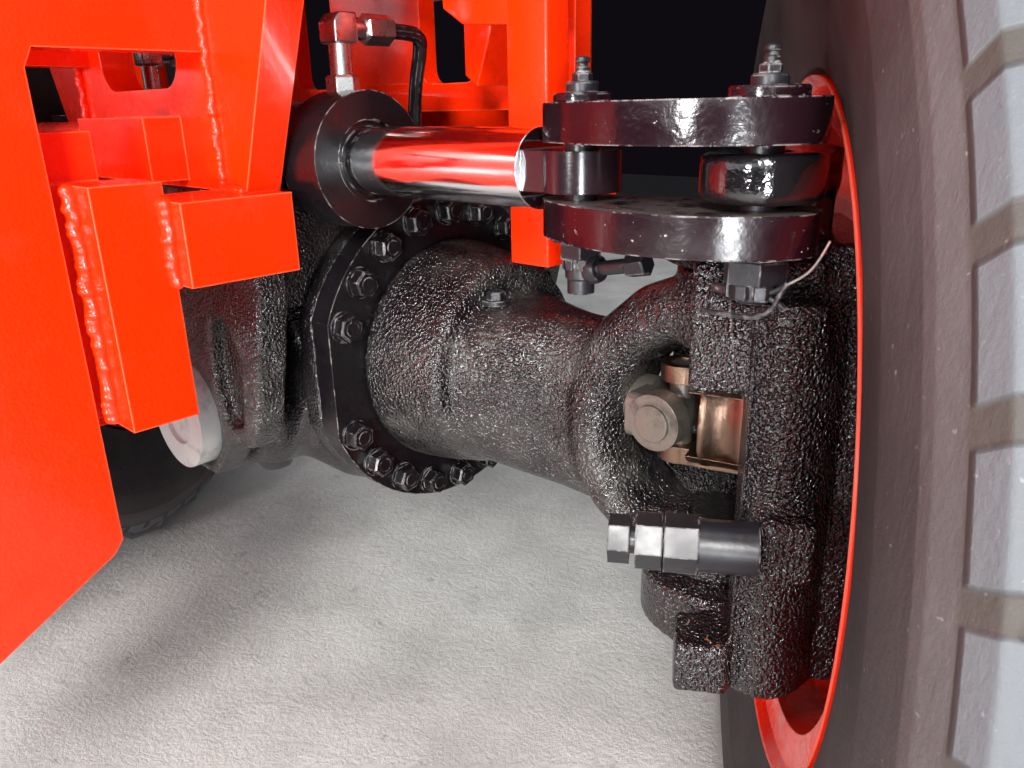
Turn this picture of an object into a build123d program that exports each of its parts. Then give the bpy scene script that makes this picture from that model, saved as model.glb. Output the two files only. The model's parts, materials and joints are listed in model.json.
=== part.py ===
from build123d import *
from math import asin, cos, degrees, radians, sin, sqrt
import os

# Rear steering drive axle of a rough terrain forklift, hung in its part of the chassis.
# Millimetres. X runs along the axle to the vehicle's left wheel, Y to the rear, Z up.
# Every size below is measured from the middle of the axle, on the wheel axis.
# The last step moves all pieces so that the origin is the middle of the top plate's upper face.

# Left and right knuckles both stand turned this far, seen from above, in degrees
STEER_AT_REST = 32.0

# Fits
PIN_CLEARANCE = 0.05
ROD_CLEARANCE = 0.1
WASHER_GAP = 0.3

# Centre housing and its bolted flanges
KINGPIN_X = 450.0
FLANGE_R = 144.0
FLANGE_FLAT = 135.0
HOUSING_FLANGE_X = 117.0
FLANGE_JOINT_X = 140.0
FLANGE_THICK = 23.0
HOUSING_HALF_Y = 118.0
HOUSING_TOP = 108.0
HOUSING_BOTTOM = 122.0
HOUSING_NOSE_Y = 150.0
HOUSING_NOSE_R = 64.0
CASTING_ROUND = 50.0
PLUG_R = 17.0

# Trumpets, from the flange out to the C-shaped yoke
TRUMPET_BOSS_R = 104.0
TRUMPET_BOSS_LENGTH = 50.0
BEAM_TOP = 58.0
BEAM_BOTTOM = 80.0
BEAM_ROOT_HALF = 70.0
BEAM_TIP_BOTTOM = 94.0
YOKE_HALF = 35.0
YOKE_OUTER_R = 118.0
YOKE_INNER_R = 66.0
YOKE_DROP = 8.0
YOKE_BOSS_R = 40.0
YOKE_BOSS_TOP = 112.0
YOKE_BOSS_ROOT = 66.0
YOKE_NOTCH_DEPTH = 68.0
YOKE_NOTCH_HALF = 25.0

# Fore-and-aft pivot on which the axle rocks
PIVOT_Z = -52.0
PIVOT_PIN_R = 25.0
PIVOT_TUBE_R = 48.0
PIVOT_TUBE_END = 202.0
PIN_RECESS = 4.0
PIN_ROOT_Y = 112.0
REAR_TUBE_R = 66.0
REAR_NOSE_R = 46.0
REAR_NOSE_PROUD = 22.0
DRIVE_SHAFT_R = 18.0
DRIVE_FLANGE_R = 58.0
DRIVE_FLANGE_PROUD = 50.0
DRIVE_FLANGE_THICK = 14.0
DRIVE_BOLT_CIRCLE_R = 45.0
DRIVE_BOLT_R = 5.25

# Steering cylinder
CYL_Y = -101.0
CYL_Z = 178.0
BARREL_R = 45.0
HEAD_R = 51.0
HEAD_END = 194.0
HEAD_LENGTH = 44.0
GLAND_DEPTH = 3.0
GLAND_WIDTH = 5.0
ROD_R = 25.0
ROD_SHOULDER_TO_PIN = 31.0
TONGUE_THICK = 24.0
TONGUE_HALF = 20.0
FOOT_X = 96.0
FOOT_THICK = 26.0
FOOT_HALF_Y = 47.0

# Elbow fittings and pipes on top of the cylinder heads
PORT_X = 165.0
ELBOW_LOW = 251.0
ELBOW_SIZE = 30.0
ELBOW_HIGH = 285.0
PIPE_Z = 268.0
PIPE_R = 6.0
PIPE_BACK_Y = 34.0

# Links between the rod and the steering arms
ARM_LENGTH = 106.0
LINK_LENGTH = 110.0
LINK_THICK = 22.0
ARM_EYE_R = 32.0
ARM_EYE_THICK = 25.0
LINK_SIDE_GAP = 4.0
LINK_PIN_R = 10.0

# Knuckle, in its own frame: U along the wheel's axle, V to the rear
COLUMN_INNER = 4.0
COLUMN_FRONT = 100.0
COLUMN_BACK = 58.0
KNUCKLE_TOP = 108.0
KNUCKLE_BOTTOM = 157.0
PAD_INNER = -31.0
PAD_FRONT = 86.0
PAD_BACK = 74.0
PAD_LOW = 50.0
PAD_HIGH = 130.0
BLOCK_TOP = -120.0
BLOCK_BACK = 60.0
WALL_INNER = 50.0
WALL_OUTER = 76.0
ARM_GAP = 3.0
ARM_HALF = 48.0
ARM_TOP = 138.0
ARM_BOSS_R = 50.0
KINGPIN_R = 21.0
KINGPIN_CAP_R = 42.0
CAP_THICK = 12.0

# Stop bolt in front of the knuckle
STOP_V = -110.0
STOP_Z = -38.0
STOP_TIP = -74.5
STOP_BARREL_R = 16.0
STOP_BARREL_END = 14.0

# Double joint in the drive shaft
JOINT_ARM = 36.0
PLUNGE = 1.45
CROSS_CAP_R = 13.5
CROSS_HALF = 41.0
EAR_R = 21.0
EAR_HALF = 17.0
TRUNNION_R = 9.0
SHAFT_R = 20.0
SHAFT_BORE_R = 28.0
SPINDLE_R = 55.0
SPINDLE_END = 150.0

# Wheel, along the wheel's axle from the kingpin
RIM_INNER_FACE = 35.0
RIM_WIDTH = 275.0
RIM_FLANGE_R = 229.0
RIM_SEAT_R = 209.0
RIM_WELL_R = 186.0
RIM_SHEET = 8.0
DISC_U = 238.0
DISC_THICK = 12.0
HUB_R = 128.0
HUB_FLANGE_R = 160.0
HUB_COVER_R = 106.0
HUB_COVER_END = 316.0
TYRE_R = 415.0
TREAD_BASE_R = 390.0
TYRE_HALF_WIDTH = 153.0
LUGS_PER_SIDE = 26
LUG_WIDTH = 46.0
LUG_ANGLE = 30.0

# Chassis cradle
TOP_Z = 420.0
TOP_THICK = 20.0
TOP_HALF = 240.0
WING_HALF = 332.0
CHASSIS_HOLE_R = 11.0
CHASSIS_HOLE_X = 180.0
CHASSIS_HOLE_Y = 150.0
SIDE_FACE = 120.0
SIDE_THICK = 25.0
CRADLE_FRONT = -560.0
CRADLE_BACK = 215.0
CROSS_FRONT = -185.0
CROSS_THICK = 28.0
REAR_CROSS_Y = 157.0
MIDDLE_CROSS_Y = 60.0
MIDDLE_CROSS_LOW = 212.0
WINDOW_HALF = 72.0
WINDOW_LOW = 234.0
WINDOW_HIGH = 330.0
MIDDLE_WINDOW_X = 109.0
MIDDLE_WINDOW_HALF = 38.0
BLOCK_ROOT_X = 100.0
BLOCK_END_X = 172.0
BLOCK_FRONT = -245.0
BLOCK_LOW = 101.0
BLOCK_HIGH = 159.0
BLOCK_REAR = -160.0
UPRIGHT_DEPTH = 48.0
UPRIGHT_END_X = 150.0
UPRIGHT_LOW = 3.0
UPRIGHT_HIGH = 172.0
SPACER_THICK = 22.0
SPACER_INSET = 20.0
SPACER_LAP = 47.0
POST_X = 289.0
POST_WIDTH = 37.0
POST_FRONT = -50.0
POST_DEPTH = 50.0
POST_LOW = 103.0

under_top = TOP_Z - TOP_THICK
link_high = CYL_Z + ARM_EYE_THICK / 2 + LINK_SIDE_GAP
link_low = CYL_Z - ARM_EYE_THICK / 2 - LINK_SIDE_GAP
wheel_centre = RIM_INNER_FACE + RIM_WIDTH / 2
cross_back = CROSS_FRONT + CROSS_THICK
joint_eye = JOINT_ARM + PLUNGE


# Shapes that many pieces share
def block(x0, x1, y0, y1, z0, z1):
    middle = Pos((x0 + x1) / 2, (y0 + y1) / 2, (z0 + z1) / 2)
    return middle * Box(x1 - x0, y1 - y0, z1 - z0)


def bar_x(radius, x0, x1, y=0.0, z=0.0):
    return Pos((x0 + x1) / 2, y, z) * Rot(0, 90, 0) * Cylinder(radius, x1 - x0)


def bar_y(radius, y0, y1, x=0.0, z=0.0):
    return Pos(x, (y0 + y1) / 2, z) * Rot(90, 0, 0) * Cylinder(radius, y1 - y0)


def bar_z(radius, z0, z1, x=0.0, y=0.0):
    return Pos(x, y, (z0 + z1) / 2) * Cylinder(radius, z1 - z0)


def hexagon(flats):
    return RegularPolygon(flats / 2, 6, major_radius=False)


def hex_x(flats, x0, x1, y=0.0, z=0.0):
    return extrude(Plane.YZ.offset(x0) * Pos(y, z) * hexagon(flats), x1 - x0)


def hex_y(flats, y0, y1, x=0.0, z=0.0):
    plane = Plane(origin=(x, y0, z), x_dir=(1, 0, 0), z_dir=(0, 1, 0))
    return extrude(plane * hexagon(flats), y1 - y0)


def hex_z(flats, z0, z1, x=0.0, y=0.0):
    return extrude(Pos(x, y, z0) * hexagon(flats), z1 - z0)


def plate_x(points, x0, x1):
    face = Plane.YZ.offset(x0) * Polygon(*points, align=None)
    return extrude(face, x1 - x0, dir=(1, 0, 0))


def plate_y(points, y0, y1):
    plane = Plane(origin=(0, y0, 0), x_dir=(1, 0, 0), z_dir=(0, -1, 0))
    return extrude(plane * Polygon(*points, align=None), y1 - y0, dir=(0, 1, 0))


def plate_z(points, z0, z1):
    face = Pos(0, 0, z0) * Polygon(*points, align=None)
    return extrude(face, z1 - z0, dir=(0, 0, 1))


def turned_x(points):
    return revolve(make_face(Polyline(*points, close=True)), Axis.X, 360)


def other_side(shape):
    return mirror(shape, about=Plane.YZ)


def at_rear(shape):
    return mirror(shape, about=Plane.XZ)


# Linkage in plan: the arm's pin, the rod's pin and the link's heading for a turn of the left knuckle
def arm_pin(turn):
    x = KINGPIN_X + ARM_LENGTH * sin(radians(turn))
    return x, -ARM_LENGTH * cos(radians(turn))


def rod_pin_x(turn):
    x, y = arm_pin(turn)
    return x - sqrt(LINK_LENGTH ** 2 - (CYL_Y - y) ** 2)


def link_heading(turn):
    x, y = arm_pin(turn)
    return degrees(asin((y - CYL_Y) / LINK_LENGTH))


rod_pin_straight = rod_pin_x(0.0)
rod_shift = rod_pin_x(STEER_AT_REST) - rod_pin_straight


# Cradle
def side_plate():
    notch_z = 256
    rear_y = -305
    lower = [(CRADLE_FRONT, -180), (-450, -176), (-399, -145), (-313, -98), (rear_y, -88)]
    upper = [(rear_y, 244), (-299, notch_z), (CROSS_FRONT, notch_z), (CROSS_FRONT, under_top)]
    outline = lower + upper + [(CRADLE_FRONT, under_top)]
    return plate_x(outline, SIDE_FACE - SIDE_THICK, SIDE_FACE)


def cross_outline():
    corners = [(152, BLOCK_HIGH), (207, 281), (CRADLE_BACK, 300), (CRADLE_BACK, under_top)]
    return corners + [(-x, z) for x, z in reversed(corners)]


def cross_window(y0):
    window = block(-WINDOW_HALF, WINDOW_HALF, y0 - 1, y0 + CROSS_THICK + 1, WINDOW_LOW, WINDOW_HIGH)
    return fillet(window.edges().filter_by(Axis.Y), 24)


def front_cross_plate():
    plate = plate_y(cross_outline(), CROSS_FRONT, cross_back)
    plate -= cross_window(CROSS_FRONT)
    boss = block(-65, 65, CROSS_FRONT - 30, CROSS_FRONT, 165, 213)
    bar = bar_x(20, -250, -65, CROSS_FRONT - 18, 190)
    return plate + boss + bar


def rear_cross_plate():
    plate = plate_y(cross_outline(), REAR_CROSS_Y, REAR_CROSS_Y + CROSS_THICK)
    return plate - cross_window(REAR_CROSS_Y)


def middle_cross_plate():
    back = MIDDLE_CROSS_Y + 20
    half = POST_X + 10
    plate = block(-half, half, MIDDLE_CROSS_Y, back, MIDDLE_CROSS_LOW, under_top)
    for x in (-MIDDLE_WINDOW_X, MIDDLE_WINDOW_X):
        x0 = x - MIDDLE_WINDOW_HALF
        x1 = x + MIDDLE_WINDOW_HALF
        window = block(x0, x1, MIDDLE_CROSS_Y - 1, back + 1, MIDDLE_CROSS_LOW + 25, under_top - 40)
        plate -= fillet(window.edges().filter_by(Axis.Y), 14)
    return plate


def rear_block():
    return at_rear(block(BLOCK_ROOT_X, BLOCK_END_X, BLOCK_FRONT, BLOCK_REAR, BLOCK_LOW, BLOCK_HIGH))


def front_block():
    front = BLOCK_FRONT - UPRIGHT_DEPTH
    level = block(BLOCK_ROOT_X, BLOCK_END_X, BLOCK_FRONT, BLOCK_REAR, BLOCK_LOW, BLOCK_HIGH)
    upright = block(BLOCK_ROOT_X, UPRIGHT_END_X, front, BLOCK_FRONT, UPRIGHT_LOW, UPRIGHT_HIGH)
    inner_x = SIDE_FACE - SIDE_THICK
    seat_y = BLOCK_FRONT - SPACER_INSET
    low = UPRIGHT_LOW - 8
    high = UPRIGHT_HIGH + 33
    spacer = block(inner_x - SPACER_THICK, inner_x, front - SPACER_LAP, seat_y, low, high)
    filler = block(inner_x, BLOCK_ROOT_X, front - 7, seat_y, UPRIGHT_LOW, UPRIGHT_HIGH)
    return level + upright + spacer + filler


def top_plate():
    plate = block(-TOP_HALF, TOP_HALF, CRADLE_FRONT, CRADLE_BACK, under_top, TOP_Z)
    plate += block(-WING_HALF, WING_HALF, -75, MIDDLE_CROSS_Y + 30, under_top, TOP_Z)
    for x in (-CHASSIS_HOLE_X, CHASSIS_HOLE_X):
        for y in (-CHASSIS_HOLE_Y, CHASSIS_HOLE_Y):
            plate -= bar_z(CHASSIS_HOLE_R, under_top - 1, TOP_Z + 1, x, y)
    return plate


def stop_post():
    back = POST_FRONT + POST_DEPTH
    post = block(POST_X, POST_X + POST_WIDTH, POST_FRONT, back, POST_LOW, under_top)
    brace = [(back, 250), (MIDDLE_CROSS_Y, 310), (MIDDLE_CROSS_Y, 340), (back, 280)]
    return post + plate_x(brace, POST_X + 8, POST_X + 20)


def pivot_bracket(tube_r):
    low = PIVOT_Z - tube_r - 9
    half = [(tube_r - 4, low + 16), (66, -68), (104, -60), (118, -41), (150, 80), (150, BLOCK_LOW),
            (100, BLOCK_LOW), (100, BLOCK_HIGH)]
    outline = [(tube_r - 22, low)] + half
    outline += [(-x, z) for x, z in reversed(outline)]
    plate = plate_y(outline, CROSS_FRONT, cross_back)
    for side in (1, -1):
        pocket = [(58, 44), (84, 52), (104, 20), (92, -44), (64, -50), (52, -8)]
        pocket = plate_y([(side * x, z) for x, z in pocket], CROSS_FRONT - 1, CROSS_FRONT + 14)
        plate -= fillet(pocket.edges().filter_by(Axis.Y), 10)
    return plate - bar_y(tube_r, CROSS_FRONT - 1, cross_back + 1, 0, PIVOT_Z)


def pivot_tube(tube_r, pin_r):
    tube = bar_y(tube_r, -PIVOT_TUBE_END, cross_back, 0, PIVOT_Z)
    return tube - bar_y(pin_r + PIN_CLEARANCE, -PIVOT_TUBE_END - 1, cross_back + 1, 0, PIVOT_Z)


# Axle beam
def pivot_pin():
    return bar_y(PIVOT_PIN_R, -PIVOT_TUBE_END + PIN_RECESS, -PIN_ROOT_Y, 0, PIVOT_Z)


def drive_nose():
    nose = bar_y(REAR_NOSE_R, HOUSING_NOSE_Y, PIVOT_TUBE_END + REAR_NOSE_PROUD, 0, PIVOT_Z)
    return nose - bar_y(DRIVE_SHAFT_R + PIN_CLEARANCE, HOUSING_NOSE_Y - 1, 300, 0, PIVOT_Z)


def drive_flange():
    face = PIVOT_TUBE_END + DRIVE_FLANGE_PROUD
    back = face - DRIVE_FLANGE_THICK
    flange = bar_y(DRIVE_FLANGE_R, back, face, 0, PIVOT_Z)
    flange += bar_y(32, back - 12, back, 0, PIVOT_Z)
    flange += bar_y(DRIVE_SHAFT_R, HOUSING_NOSE_Y + 4, back - 12, 0, PIVOT_Z)
    for n in range(4):
        turn = radians(45 + 90 * n)
        x = DRIVE_BOLT_CIRCLE_R * cos(turn)
        z = PIVOT_Z + DRIVE_BOLT_CIRCLE_R * sin(turn)
        flange -= bar_y(DRIVE_BOLT_R, back - 1, face + 1, x, z)
    return flange


def flange_disc(x0, x1):
    flats = block(x0, x1, -FLANGE_FLAT, FLANGE_FLAT, -FLANGE_R - 1, FLANGE_R + 1)
    return bar_x(FLANGE_R, x0, x1) & flats


def housing_core():
    half = HOUSING_FLANGE_X + 1
    core = block(-half, half, -HOUSING_HALF_Y, HOUSING_HALF_Y, -HOUSING_BOTTOM, HOUSING_TOP)
    return fillet(core.edges().filter_by(Axis.X), CASTING_ROUND)


def centre_housing():
    body = housing_core()
    body += bar_y(HOUSING_NOSE_R, -HOUSING_NOSE_Y, HOUSING_NOSE_Y, 0, PIVOT_Z)
    body += bar_y(112, -132, 132, 0, -8)
    body += flange_disc(HOUSING_FLANGE_X, FLANGE_JOINT_X)
    body += flange_disc(-FLANGE_JOINT_X, -HOUSING_FLANGE_X)
    body += bar_z(PLUG_R, -HOUSING_BOTTOM - 8, -60, 8, -112)
    return body - bar_y(PIVOT_PIN_R, -HOUSING_NOSE_Y - 1, -PIN_ROOT_Y, 0, PIVOT_Z)


def bolt_flange():
    return flange_disc(FLANGE_JOINT_X, FLANGE_JOINT_X + FLANGE_THICK)


def trumpet():
    start = FLANGE_JOINT_X + FLANGE_THICK
    boss_end = start + TRUMPET_BOSS_LENGTH
    body = bar_x(TRUMPET_BOSS_R, start, boss_end)
    tip_x = KINGPIN_X - YOKE_OUTER_R + 16
    root = RectangleRounded(2 * BEAM_ROOT_HALF, BEAM_TOP + BEAM_BOTTOM, 34)
    root = Pos(0, (BEAM_TOP - BEAM_BOTTOM) / 2) * root
    tip = RectangleRounded(2 * YOKE_HALF, BEAM_TOP + BEAM_TIP_BOTTOM, 16)
    tip = Pos(0, (BEAM_TOP - BEAM_TIP_BOTTOM) / 2) * tip
    body += loft([Plane.YZ.offset(boss_end) * root, Plane.YZ.offset(tip_x) * tip])
    ring = bar_y(YOKE_OUTER_R, -YOKE_HALF, YOKE_HALF, KINGPIN_X, -YOKE_DROP)
    body += ring & block(0, KINGPIN_X, -YOKE_HALF, YOKE_HALF, -YOKE_BOSS_TOP, YOKE_BOSS_TOP)
    body += bar_z(YOKE_BOSS_R, YOKE_BOSS_ROOT, YOKE_BOSS_TOP, KINGPIN_X)
    body += bar_z(YOKE_BOSS_R, -YOKE_BOSS_TOP, -YOKE_BOSS_ROOT, KINGPIN_X)
    body -= bar_y(YOKE_INNER_R, -80, 80, KINGPIN_X, -YOKE_DROP)
    opening_top = YOKE_INNER_R - YOKE_DROP
    body -= block(KINGPIN_X, KINGPIN_X + YOKE_BOSS_R + 1, -80, 80, -YOKE_INNER_R, opening_top)
    notch = YOKE_NOTCH_HALF
    body -= block(KINGPIN_X - YOKE_NOTCH_DEPTH, KINGPIN_X, -80, 80, -notch, notch)
    body -= block(KINGPIN_X - 72, KINGPIN_X, -24, 24, -46, 42)
    body -= bar_z(KINGPIN_R + PIN_CLEARANCE, -200, 200, KINGPIN_X)
    return body - bar_x(SHAFT_BORE_R, KINGPIN_X - 240, KINGPIN_X)


def cylinder_head():
    start = HEAD_END - HEAD_LENGTH
    head = bar_x(HEAD_R, start, HEAD_END, CYL_Y, CYL_Z)
    head -= bar_x(ROD_R + ROD_CLEARANCE, start - 1, HEAD_END + 1, CYL_Y, CYL_Z)
    return head - bar_x(ROD_R + GLAND_WIDTH, HEAD_END - GLAND_DEPTH, HEAD_END + 1, CYL_Y, CYL_Z)


def cylinder_barrel():
    end = HEAD_END - HEAD_LENGTH
    barrel = bar_x(BARREL_R, -end, end, CYL_Y, CYL_Z)
    return barrel - bar_x(ROD_R + ROD_CLEARANCE, -end - 1, end + 1, CYL_Y, CYL_Z)


def cylinder_feet():
    feet = []
    for x0 in (FOOT_X, -FOOT_X - FOOT_THICK):
        foot = block(x0, x0 + FOOT_THICK, CYL_Y - FOOT_HALF_Y, CYL_Y + FOOT_HALF_Y, 60, CYL_Z - 4)
        foot -= bar_x(BARREL_R, x0 - 1, x0 + FOOT_THICK + 1, CYL_Y, CYL_Z)
        foot -= bar_y(112, -132, 132, 0, -8)
        feet.append(foot - housing_core() - flange_disc(-FLANGE_JOINT_X, FLANGE_JOINT_X))
    return Compound(children=feet)


def steering_pipe():
    half = ELBOW_SIZE / 2
    head_top = CYL_Z + HEAD_R
    fitting = bar_z(9, head_top - 4, ELBOW_LOW, PORT_X, CYL_Y)
    fitting += hex_z(24, head_top - 4, head_top + 9, PORT_X, CYL_Y)
    fitting += block(PORT_X - half, PORT_X + half, CYL_Y - half, CYL_Y + half, ELBOW_LOW, ELBOW_HIGH)
    fitting += hex_y(24, CYL_Y + half, -60, PORT_X, PIPE_Z)
    drop_x = PORT_X - 75
    path = FilletPolyline((PORT_X, -70, PIPE_Z), (PORT_X, PIPE_BACK_Y, PIPE_Z),
                          (drop_x, PIPE_BACK_Y, PIPE_Z - 90), (drop_x, PIPE_BACK_Y, HOUSING_TOP), radius=24)
    pipe = sweep(Plane(origin=path @ 0, z_dir=path % 0) * Circle(PIPE_R), path=path)
    fitting += pipe + hex_z(22, HOUSING_TOP, HOUSING_TOP + 26, drop_x, PIPE_BACK_Y)
    return fitting - bar_x(HEAD_R, 0, HEAD_END, CYL_Y, CYL_Z)


# Double joint: the yoke on the axle side, the middle fork and the yoke on the wheel side
def shaft_yoke():
    outer = CROSS_HALF - 3
    arms = block(-joint_eye - 24, -joint_eye, -outer, outer, -EAR_HALF, EAR_HALF)
    ears = fillet(arms.edges().filter_by(Axis.X), 8) + bar_y(EAR_R, -outer, outer, -joint_eye, 0)
    ears -= block(-joint_eye - 15, -joint_eye + 40, -22, 22, -30, 30)
    cross = bar_y(CROSS_CAP_R, -CROSS_HALF, CROSS_HALF, -joint_eye, 0)
    return ears + cross + bar_z(TRUNNION_R, -36, 36, -joint_eye, 0)


def inner_yoke():
    shaft = bar_x(SHAFT_R, -235, -joint_eye - 20)
    return shaft_yoke() + shaft + bar_x(SHAFT_BORE_R, -215, -190)


def outer_yoke():
    shaft = bar_x(SHAFT_R, joint_eye + 20, SPINDLE_END)
    return other_side(shaft_yoke()) + shaft + bar_x(SHAFT_R + 4, WALL_OUTER + 10, WALL_OUTER + 30)


def middle_fork():
    low = EAR_R + 3
    high = low + 14
    barrel = bar_x(high, 12, 2 * JOINT_ARM - 12) - block(0, 2 * JOINT_ARM, -50, 50, -low, low)
    web = block(JOINT_ARM - 5, JOINT_ARM + 5, -20, 20, -low - 2, low + 2)
    fork = barrel + fillet(web.edges().filter_by(Axis.Z), 4)
    for z0 in (low, -high):
        bar = block(0, 2 * JOINT_ARM, -15, 15, z0, z0 + 13)
        fork += bar + bar_z(16, z0, z0 + 13) + bar_z(16, z0, z0 + 13, 2 * JOINT_ARM)
    fork -= bar_z(TRUNNION_R + PIN_CLEARANCE, -50, 50)
    return fork - bar_z(TRUNNION_R + 4, -50, 50, 2 * JOINT_ARM)


# Knuckle
def knuckle():
    front = [(COLUMN_INNER, -KNUCKLE_BOTTOM), (43, -KNUCKLE_BOTTOM), (50, -132), (58, -76), (55, -32),
             (49, 61), (42, KNUCKLE_TOP), (COLUMN_INNER, KNUCKLE_TOP)]
    column = plate_y(front, -COLUMN_FRONT, -COLUMN_BACK)
    body = column + at_rear(column)
    wall = block(WALL_INNER - 8, WALL_OUTER, -COLUMN_FRONT, COLUMN_FRONT, -KNUCKLE_BOTTOM, KNUCKLE_TOP)
    body += fillet(wall.edges().filter_by(Axis.X), 56)
    upper_root = YOKE_BOSS_TOP + ARM_GAP
    upper = block(0, WALL_OUTER, -72, 72, 90, ARM_TOP)
    upper -= block(-1, 50, -COLUMN_BACK, COLUMN_BACK, 80, upper_root)
    body += upper + bar_z(ARM_BOSS_R, upper_root, ARM_TOP)
    body += block(0, WALL_OUTER, -COLUMN_FRONT, COLUMN_FRONT, -KNUCKLE_BOTTOM, BLOCK_TOP)
    body += bar_z(ARM_BOSS_R + 6, -KNUCKLE_BOTTOM, -upper_root)
    body += block(PAD_INNER, COLUMN_INNER, -COLUMN_FRONT, -BLOCK_BACK, -KNUCKLE_BOTTOM, BLOCK_TOP)
    body += block(PAD_INNER, COLUMN_INNER, -PAD_FRONT, -PAD_BACK, PAD_LOW, PAD_HIGH)
    body += block(PAD_INNER, 40, -PAD_FRONT, -30, upper_root, PAD_HIGH)
    body += steering_arm()
    body += block(STOP_BARREL_END, 46, STOP_V - 6, -COLUMN_FRONT + 2, STOP_Z - 20, STOP_Z + 20)
    body -= bar_x(STOP_BARREL_R, COLUMN_INNER - 1, STOP_BARREL_END, STOP_V, STOP_Z)
    body -= bar_z(KINGPIN_R + PIN_CLEARANCE, -200, 160)
    body -= bar_z(KINGPIN_CAP_R + 4, ARM_TOP, ARM_TOP + CAP_THICK + 6)
    return body - bar_x(46, 0, 200)


def steering_arm():
    z0 = CYL_Z - ARM_EYE_THICK / 2
    z1 = CYL_Z + ARM_EYE_THICK / 2
    arm = bar_z(ARM_EYE_R, z0, z1, 0, -ARM_LENGTH)
    arm += plate_z([(-16, -90), (28, -104), (50, -50), (44, -24), (4, -24), (4, -62)], z0, z1)
    arm += block(4, 46, -62, -24, ARM_TOP - 10, z1)
    return arm - bar_z(LINK_PIN_R + PIN_CLEARANCE, z0 - 1, z1 + 1, 0, -ARM_LENGTH)


def kingpins():
    pins = []
    for side, outer in ((1, ARM_TOP), (-1, KNUCKLE_BOTTOM)):
        pin = bar_z(KINGPIN_R, YOKE_BOSS_ROOT + 4, outer) + bar_z(KINGPIN_CAP_R, outer, outer + CAP_THICK)
        pins.append(pin if side > 0 else mirror(pin, about=Plane.XY))
    return Compound(children=pins)


def stop_bolt():
    barrel = bar_x(STOP_BARREL_R, -21, STOP_BARREL_END, STOP_V, STOP_Z)
    nuts = hex_x(31, -41, -21, STOP_V, STOP_Z) + hex_x(30, -58, -42, STOP_V, STOP_Z)
    shank = bar_x(8.5, STOP_TIP + 12, -21, STOP_V, STOP_Z)
    return barrel + nuts + shank + hex_x(26, STOP_TIP, STOP_TIP + 13, STOP_V, STOP_Z)


def spindle():
    collar = bar_x(92, WALL_OUTER, WALL_OUTER + 16)
    stub = bar_x(SPINDLE_R, WALL_OUTER + 16, SPINDLE_END)
    return collar + stub - bar_x(SHAFT_R + 4, WALL_OUTER - 1, SPINDLE_END + 1)


# Wheel
def hub():
    start = WALL_OUTER + 16 + WASHER_GAP
    body = bar_x(HUB_R, start, DISC_U - 16) + bar_x(HUB_FLANGE_R, DISC_U - 16, DISC_U)
    cover = [(DISC_U, 0), (DISC_U, HUB_COVER_R), (290, HUB_COVER_R), (296, 100), (308, 98),
             (HUB_COVER_END, 84),
             (HUB_COVER_END, 0)]
    body += turned_x(cover)
    return body - bar_x(SPINDLE_R + ROD_CLEARANCE, start - 1, SPINDLE_END + WASHER_GAP)


def rim():
    u0 = RIM_INNER_FACE
    u1 = u0 + RIM_WIDTH
    t = RIM_SHEET
    seat = RIM_SEAT_R
    well = RIM_WELL_R
    flange = RIM_FLANGE_R
    outer = [(u0, flange), (u0 + 13, flange), (u0 + 15, seat), (u0 + 42, seat), (u0 + 55, seat - 6),
             (u0 + 80, well), (u1 - 110, well), (u1 - 80, seat - 6), (u1 - 42, seat), (u1 - 15, seat),
             (u1 - 13, flange), (u1, flange)]
    inner = [(u1 - t, flange - 6), (u1 - t - 3, seat - t), (u1 - 42, seat - t), (u1 - 82, seat - 6 - t),
             (u1 - 112, well - t), (u0 + 82, well - t), (u0 + 57, seat - 6 - t), (u0 + 42, seat - t),
             (u0 + t + 3, seat - t), (u0 + t, flange - 6)]
    disc = bar_x(seat - t - 2, DISC_U, DISC_U + DISC_THICK)
    return turned_x(outer + inner) + disc - bar_x(HUB_COVER_R + ROD_CLEARANCE, 200, 300)


def tyre():
    c = wheel_centre
    base = TREAD_BASE_R
    rise = TREAD_BASE_R - RIM_FLANGE_R
    low_wall = RIM_FLANGE_R + 0.38 * rise
    middle_wall = RIM_FLANGE_R + 0.60 * rise
    outside = [(121, RIM_SEAT_R), (123, RIM_FLANGE_R + 1), (136, RIM_FLANGE_R + 4), (150, low_wall),
               (TYRE_HALF_WIDTH, middle_wall), (148, RIM_FLANGE_R + 0.81 * rise),
               (138, base - 8), (110, base)]
    inside = [(98, RIM_SEAT_R), (106, RIM_FLANGE_R + 0.1 * rise), (128, low_wall), (131, middle_wall),
              (126, RIM_FLANGE_R + 0.76 * rise), (108, RIM_FLANGE_R + 0.85 * rise)]
    outline = [(c + x, r) for x, r in outside] + [(c - x, r) for x, r in reversed(outside)]
    outline += [(c - x, r) for x, r in inside] + [(c + x, r) for x, r in reversed(inside)]
    carcass = turned_x(outline)
    section = [(-14, base - 8), (-14, TYRE_R), (84, TYRE_R - 3), (124, TYRE_R - 12), (148, TYRE_R - 42),
               (156, base - 38), (140, base - 38), (112, base - 8)]
    lug = plate_y(section, -LUG_WIDTH / 2, LUG_WIDTH / 2)
    lugs = []
    for side in (1, -1):
        shape = lug if side > 0 else other_side(lug)
        for n in range(LUGS_PER_SIDE):
            turn = 360 / LUGS_PER_SIDE * (n + (0.5 if side > 0 else 0.0))
            lugs.append(Rot(turn, 0, 0) * Pos(c, 0, 0) * Rot(0, 0, side * LUG_ANGLE) * shape)
    return carcass.fuse(*lugs)


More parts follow.
